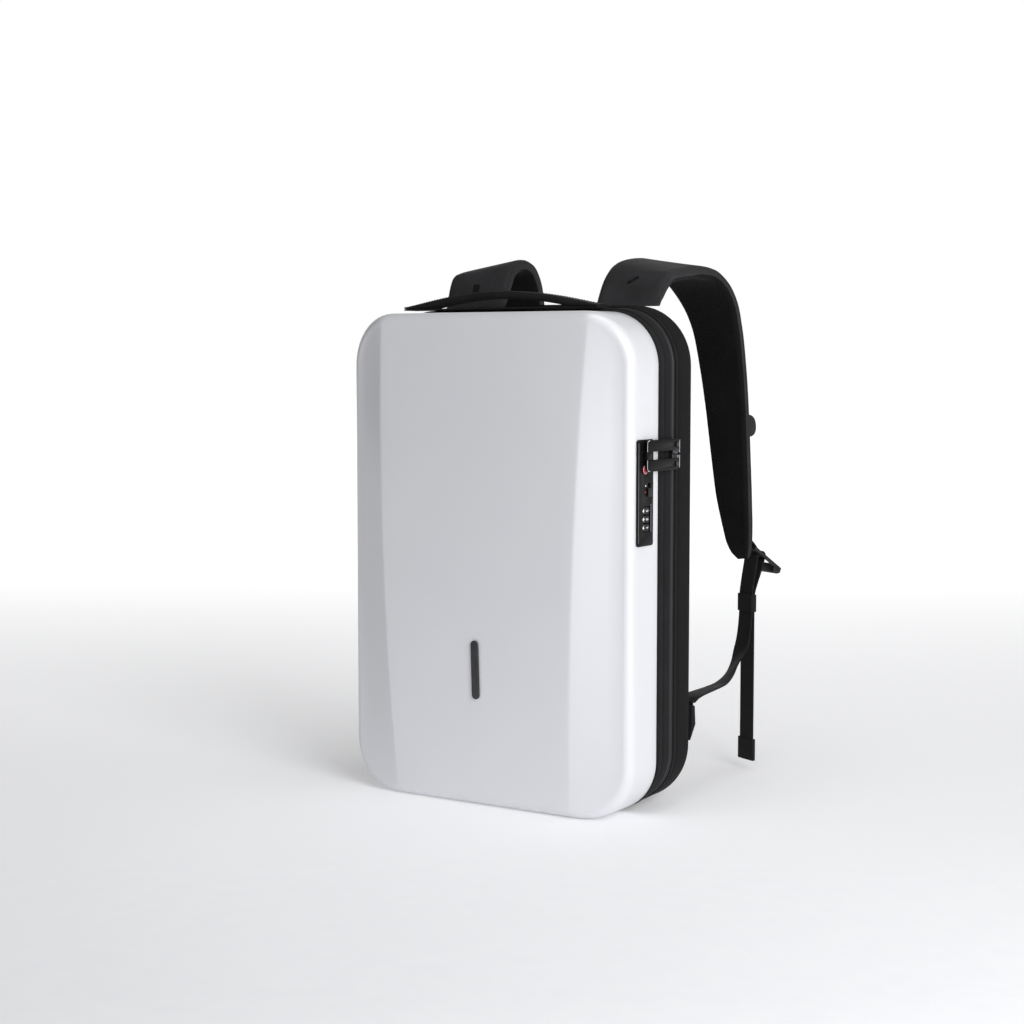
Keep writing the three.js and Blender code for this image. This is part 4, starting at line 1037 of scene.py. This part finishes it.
# Digits 0 to 9 bent round a wheel, lying on their sides as they are read from the pack's top
def dial_digits(node, body):
    radius = DIAL_RADIUS + 0.03
    points = []
    faces = []
    for digit in range(10):
        curve = bpy.data.curves.new("digit", "FONT")
        curve.body = str(digit)
        curve.size = DIGIT_SIZE
        curve.align_x = "CENTER"
        curve.align_y = "CENTER"
        curve.resolution_u = 4
        text = bpy.data.objects.new("digit", curve)
        bpy.context.scene.collection.objects.link(text)
        graph = bpy.context.evaluated_depsgraph_get()
        mesh = bpy.data.meshes.new_from_object(text.evaluated_get(graph))
        turn = math.radians(DIGIT_TURN * (digit - DIAL_SHOWN[node]) + DIAL_TILT)
        first = len(points)
        for vertex in mesh.vertices:
            around = turn + vertex.co.y / radius
            points.append((
                DIAL_X + radius * math.cos(around),
                DIAL_Y - radius * math.sin(around),
                DIAL_HEIGHTS[node] + vertex.co.x * 1.05,
            ))
        faces.extend(tuple(first + i for i in polygon.vertices) for polygon in mesh.polygons)
        bpy.data.objects.remove(text)
        bpy.data.curves.remove(curve)
        bpy.data.meshes.remove(mesh)
    make_piece(f"{node}_digits", points, faces, looks["white"], body=body)


# A point on a wheel at an angle and a height above its middle
def wheel_point(node, radius, angle, z):
    x = DIAL_X + radius * math.cos(angle)
    y = DIAL_Y - radius * math.sin(angle)
    return (x, y, DIAL_HEIGHTS[node] + z)


# A wheel with a shallow groove between each pair of digits, bevelled rims and a bore
def dial_wheel(node, body):
    bevel = 0.5
    outside = [(-DIAL_HALF, -bevel), (-DIAL_HALF + bevel, 0), (DIAL_HALF - bevel, 0), (DIAL_HALF, -bevel)]
    tilt = math.radians(DIAL_TILT)
    angles = [2 * math.pi * k / DIAL_SIDES + tilt for k in range(DIAL_SIDES)]
    rings = []
    for z, inset in outside:
        ring = []
        for angle in angles:
            from_groove = (math.degrees(angle) - DIAL_TILT + DIGIT_TURN / 2) % DIGIT_TURN
            from_groove = min(from_groove, DIGIT_TURN - from_groove)
            notch = 0.35 * math.exp(-((from_groove / 2.6) ** 2))
            ring.append(wheel_point(node, DIAL_RADIUS + inset - notch, angle, z))
        rings.append(ring)
    for z in (DIAL_HALF, -DIAL_HALF):
        rings.append([wheel_point(node, DIAL_BORE, angle, z) for angle in angles])
    points = [point for ring in rings for point in ring]
    faces = []
    for i in range(len(rings)):
        j = (i + 1) % len(rings)
        for p in range(DIAL_SIDES):
            q = (p + 1) % DIAL_SIDES
            faces.append((i * DIAL_SIDES + p, i * DIAL_SIDES + q, j * DIAL_SIDES + q, j * DIAL_SIDES + p))
    make_piece(f"{node}_wheel", points, faces, looks["plastic"], (node,), body, 30)


# A flat mark printed on the lock's face: corners are (y, z), a hair proud of the plate
def printed(name, corners, material, lift=0.02):
    base = LOCK_FACE_X + lift
    front = base + 0.06
    count = len(corners)
    points = [(base, y, z) for y, z in corners] + [(front, y, z) for y, z in corners]
    faces = [tuple(range(count)), tuple(count + i for i in range(count))]
    for i in range(count):
        j = (i + 1) % count
        faces.append((i, j, count + j, count + i))
    make_piece(name, points, faces, material)


def disc(y, z, radius):
    sides = 24
    corners = []
    for k in range(sides):
        angle = 2 * math.pi * k / sides
        corners.append((y + radius * math.cos(angle), z + radius * math.sin(angle)))
    return corners


def lock_details():
    rounded_copy("lock_plate", looks["lock"], 0.45, 3)
    rounded_copy("lock_button", looks["plastic"], 0.5, 3, body="button")
    rounded_copy("key_ring", looks["rim_red"], 0.3, 3, angle=60)
    rounded_copy("key_cylinder", looks["red"], 0.2, 2, body="key_core", angle=60)
    rounded_copy("tab_post", looks["lock"], 0.5, 3)
    for node, body in (("dial_1", "wheel_1"), ("dial_2", "wheel_2"), ("dial_3", "wheel_3")):
        dial_wheel(node, body)
        dial_digits(node, body)
        z = DIAL_HEIGHTS[node]
        root_y = POINTER_Y + POINTER_LENGTH
        corners = [(POINTER_Y, z), (root_y, z - POINTER_HALF), (root_y, z + POINTER_HALF)]
        printed(f"pointer_{node}", corners, looks["white"])
    for name, y, z, radius, look in LOCK_DOTS:
        printed(name, disc(y, z, radius), looks[look])
    for name, y0, y1, z0, z1 in LOCK_EDGES:
        printed(name, [(y0, z0), (y1, z0), (y1, z1), (y0, z1)], looks["dark_rim"])
    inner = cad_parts["lock_case"]
    inner.data.materials.clear()
    inner.data.materials.append(looks["plastic"])


# A painted highlight on a pull tab's front end: a bright metal strip, straight and then round one corner
def bright_end(name, low, high):
    up = 1 if name == "upper" else -1
    far = high[2] if up > 0 else low[2]
    start = low[2] if up > 0 else high[2]
    corner = far - up * PULL_END
    outer = [(low[1], start)]
    inner = [(low[1] + PULL_EDGE, start)]
    steps = 8
    for k in range(steps + 1):
        t = k / steps
        bend = 2 * t * (1 - t)
        y = (1 - t) ** 2 * low[1] + bend * low[1] + t * t * (low[1] + PULL_END)
        z = (1 - t) ** 2 * corner + bend * far + t * t * far
        outer.append((y, z))
        inner.append((y + PULL_EDGE * (1 - 0.6 * t), z - up * PULL_EDGE * t))
    printed(f"pull_highlight_{name}", outer + inner[::-1], looks["rim"], lift=PULL_FACE_X - LOCK_FACE_X + 0.01)


# A painted highlight on a slider: a bright metal strip near its rear
def slider_rim(name, low, high):
    thickness = 0.9
    rear = high[1] - RIM_SETBACK - thickness / 2
    up = np.array([0, 0, 1.0])
    back = np.array([0, 1.0, 0])
    width = (high[2] - low[2]) * 0.86
    rings = []
    for x in (RIM_ROOT_X, RIM_FRONT_X):
        middle = np.array([x, rear, (low[2] + high[2]) / 2])
        rings.append(strap_ring(middle, up, back, width, thickness, 0.3))
    points, faces = loft(rings)
    make_piece(f"slider_rim_{name}", points, faces, looks["rim"])


def zipper_hardware():
    for name in ("upper", "lower"):
        rounded_copy(f"slider_{name}", looks["gunmetal"], 0.5, 3)
        rounded_copy(f"pull_tab_{name}", looks["lock"], 0.4, 3)
        bright_end(name, *[np.array(corner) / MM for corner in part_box(f"pull_tab_{name}")])
        slider_rim(name, *[np.array(corner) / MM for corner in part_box(f"slider_{name}")])


# The closed zipper: two cloth lips that meet over the coil, all the way round
def zipper_lips():
    steps = 12
    lips = []
    for k in range(steps + 1):
        share = k / steps
        from_middle = abs(share - 0.5) * 2
        drop = 0.75 * math.exp(-((from_middle / 0.13) ** 2)) - 0.35 * math.sin(math.pi * from_middle)
        lips.append((drop + 0.1, mix(LIPS_FRONT, LIPS_BACK, share)))
    lips += [(LIPS_WALL, LIPS_BACK), (LIPS_WALL, LIPS_FRONT)]
    band("zipper_lips", mix_outline(0.7, 1.2), lips, looks["coil"], ("zipper_chain",), 60)


# Camera, floor and lights


def camera():
    data = bpy.data.cameras.new("camera")
    data.lens = CAMERA_LENS
    data.sensor_width = 36
    view = bpy.data.objects.new("camera", data)
    view.location = CAMERA_PLACE
    view.rotation_euler = (math.pi / 2 - CAMERA_DOWN, 0, CAMERA_AZIMUTH)
    bpy.context.scene.collection.objects.link(view)
    bpy.context.scene.camera = view


# How far a direction or a place lies along another direction
def share_along(tree, vector, direction):
    node = add_node(tree, "ShaderNodeVectorMath", operation="DOT_PRODUCT")
    node.inputs[1].default_value = direction
    link(tree, vector, node.inputs[0])
    return node.outputs["Value"]


# The floor is pale paper that glows softly far behind the pack, so that it runs into the backdrop
def floor():
    mesh = bpy.data.meshes.new("floor")
    corners = [(x * FLOOR_HALF, y * FLOOR_HALF, 0) for x, y in ((-1, -1), (1, -1), (1, 1), (-1, 1))]
    mesh.from_pydata(corners, [], [(0, 1, 2, 3)])
    plane = bpy.data.objects.new("floor", mesh)
    bpy.context.scene.collection.objects.link(plane)
    plane.location.z = -0.0006
    material, tree, shader = base_material("floor_paper", (0.83, 0.84, 0.87), 0.8, specular=0.1)
    place = coordinates(tree)
    grain = noise(tree, place, 40.0, 3.0)
    paper = ramp(tree, grain, [(0.3, (0.83, 0.835, 0.86)), (0.7, (0.85, 0.855, 0.875))])
    link(tree, paper, shader.inputs["Base Color"])
    reach = share_along(tree, place, VIEW_AHEAD)
    shader.inputs["Emission Color"].default_value = (1, 1, 1, 1)
    glow = spread(tree, reach, FLOOR_NEAR, FLOOR_FAR, GLOW_FROM, GLOW_TO)
    link(tree, glow, shader.inputs["Emission Strength"])
    mesh.materials.append(material)


def area_light(name, place, target, size, power):
    data = bpy.data.lights.new(name, "AREA")
    data.shape = "RECTANGLE"
    data.size, data.size_y = size
    data.energy = power
    light = bpy.data.objects.new(name, data)
    light.location = place
    direction = Vector(target) - Vector(place)
    light.rotation_euler = direction.to_track_quat("-Z", "Y").to_euler()
    bpy.context.scene.collection.objects.link(light)


# Light by direction: brighter towards the lock's side and behind the pack, darker on the other side
def studio():
    world = bpy.data.worlds.new("studio")
    world.use_nodes = True
    tree = world.node_tree
    background = tree.nodes["Background"]
    place = add_node(tree, "ShaderNodeTexCoord").outputs["Generated"]
    side = share_along(tree, place, (0.97, -0.1, 0.2))
    lit = spread(tree, side, SKY_DARK, SKY_LIGHT, -0.5, 0.9)
    backdrop = add_node(tree, "ShaderNodeMapRange", interpolation_type="SMOOTHSTEP")
    backdrop.inputs["From Min"].default_value = 0.72
    backdrop.inputs["From Max"].default_value = 0.94
    link(tree, share_along(tree, place, VIEW_AHEAD), backdrop.inputs["Value"])
    strength = math_node(tree, "MAXIMUM", lit, backdrop.outputs["Result"])
    link(tree, strength, background.inputs["Strength"])
    background.inputs["Color"].default_value = (1, 1, 1, 1)
    bpy.context.scene.world = world
    middle = (0, 0, 0.23)
    area_light("key", (1.5, -0.87, 0.8), middle, (0.9, 1.0), KEY_POWER)
    area_light("top", (0.2, -0.35, 2.2), middle, (1.2, 1.0), TOP_POWER)


def main():
    camera()
    floor()
    studio()
    front_shell()
    bands()
    zipper_lips()
    back_case()
    back_pad()
    handle()
    handle_stitches()
    for name, strap in STRAPS.items():
        sections = pad_sections(strap)
        shoulder_pad(name, sections)
        pad_trim(name, sections)
    small_parts()
    lock_details()
    zipper_hardware()
    bpy.context.scene.view_settings.view_transform = "Standard"


main()
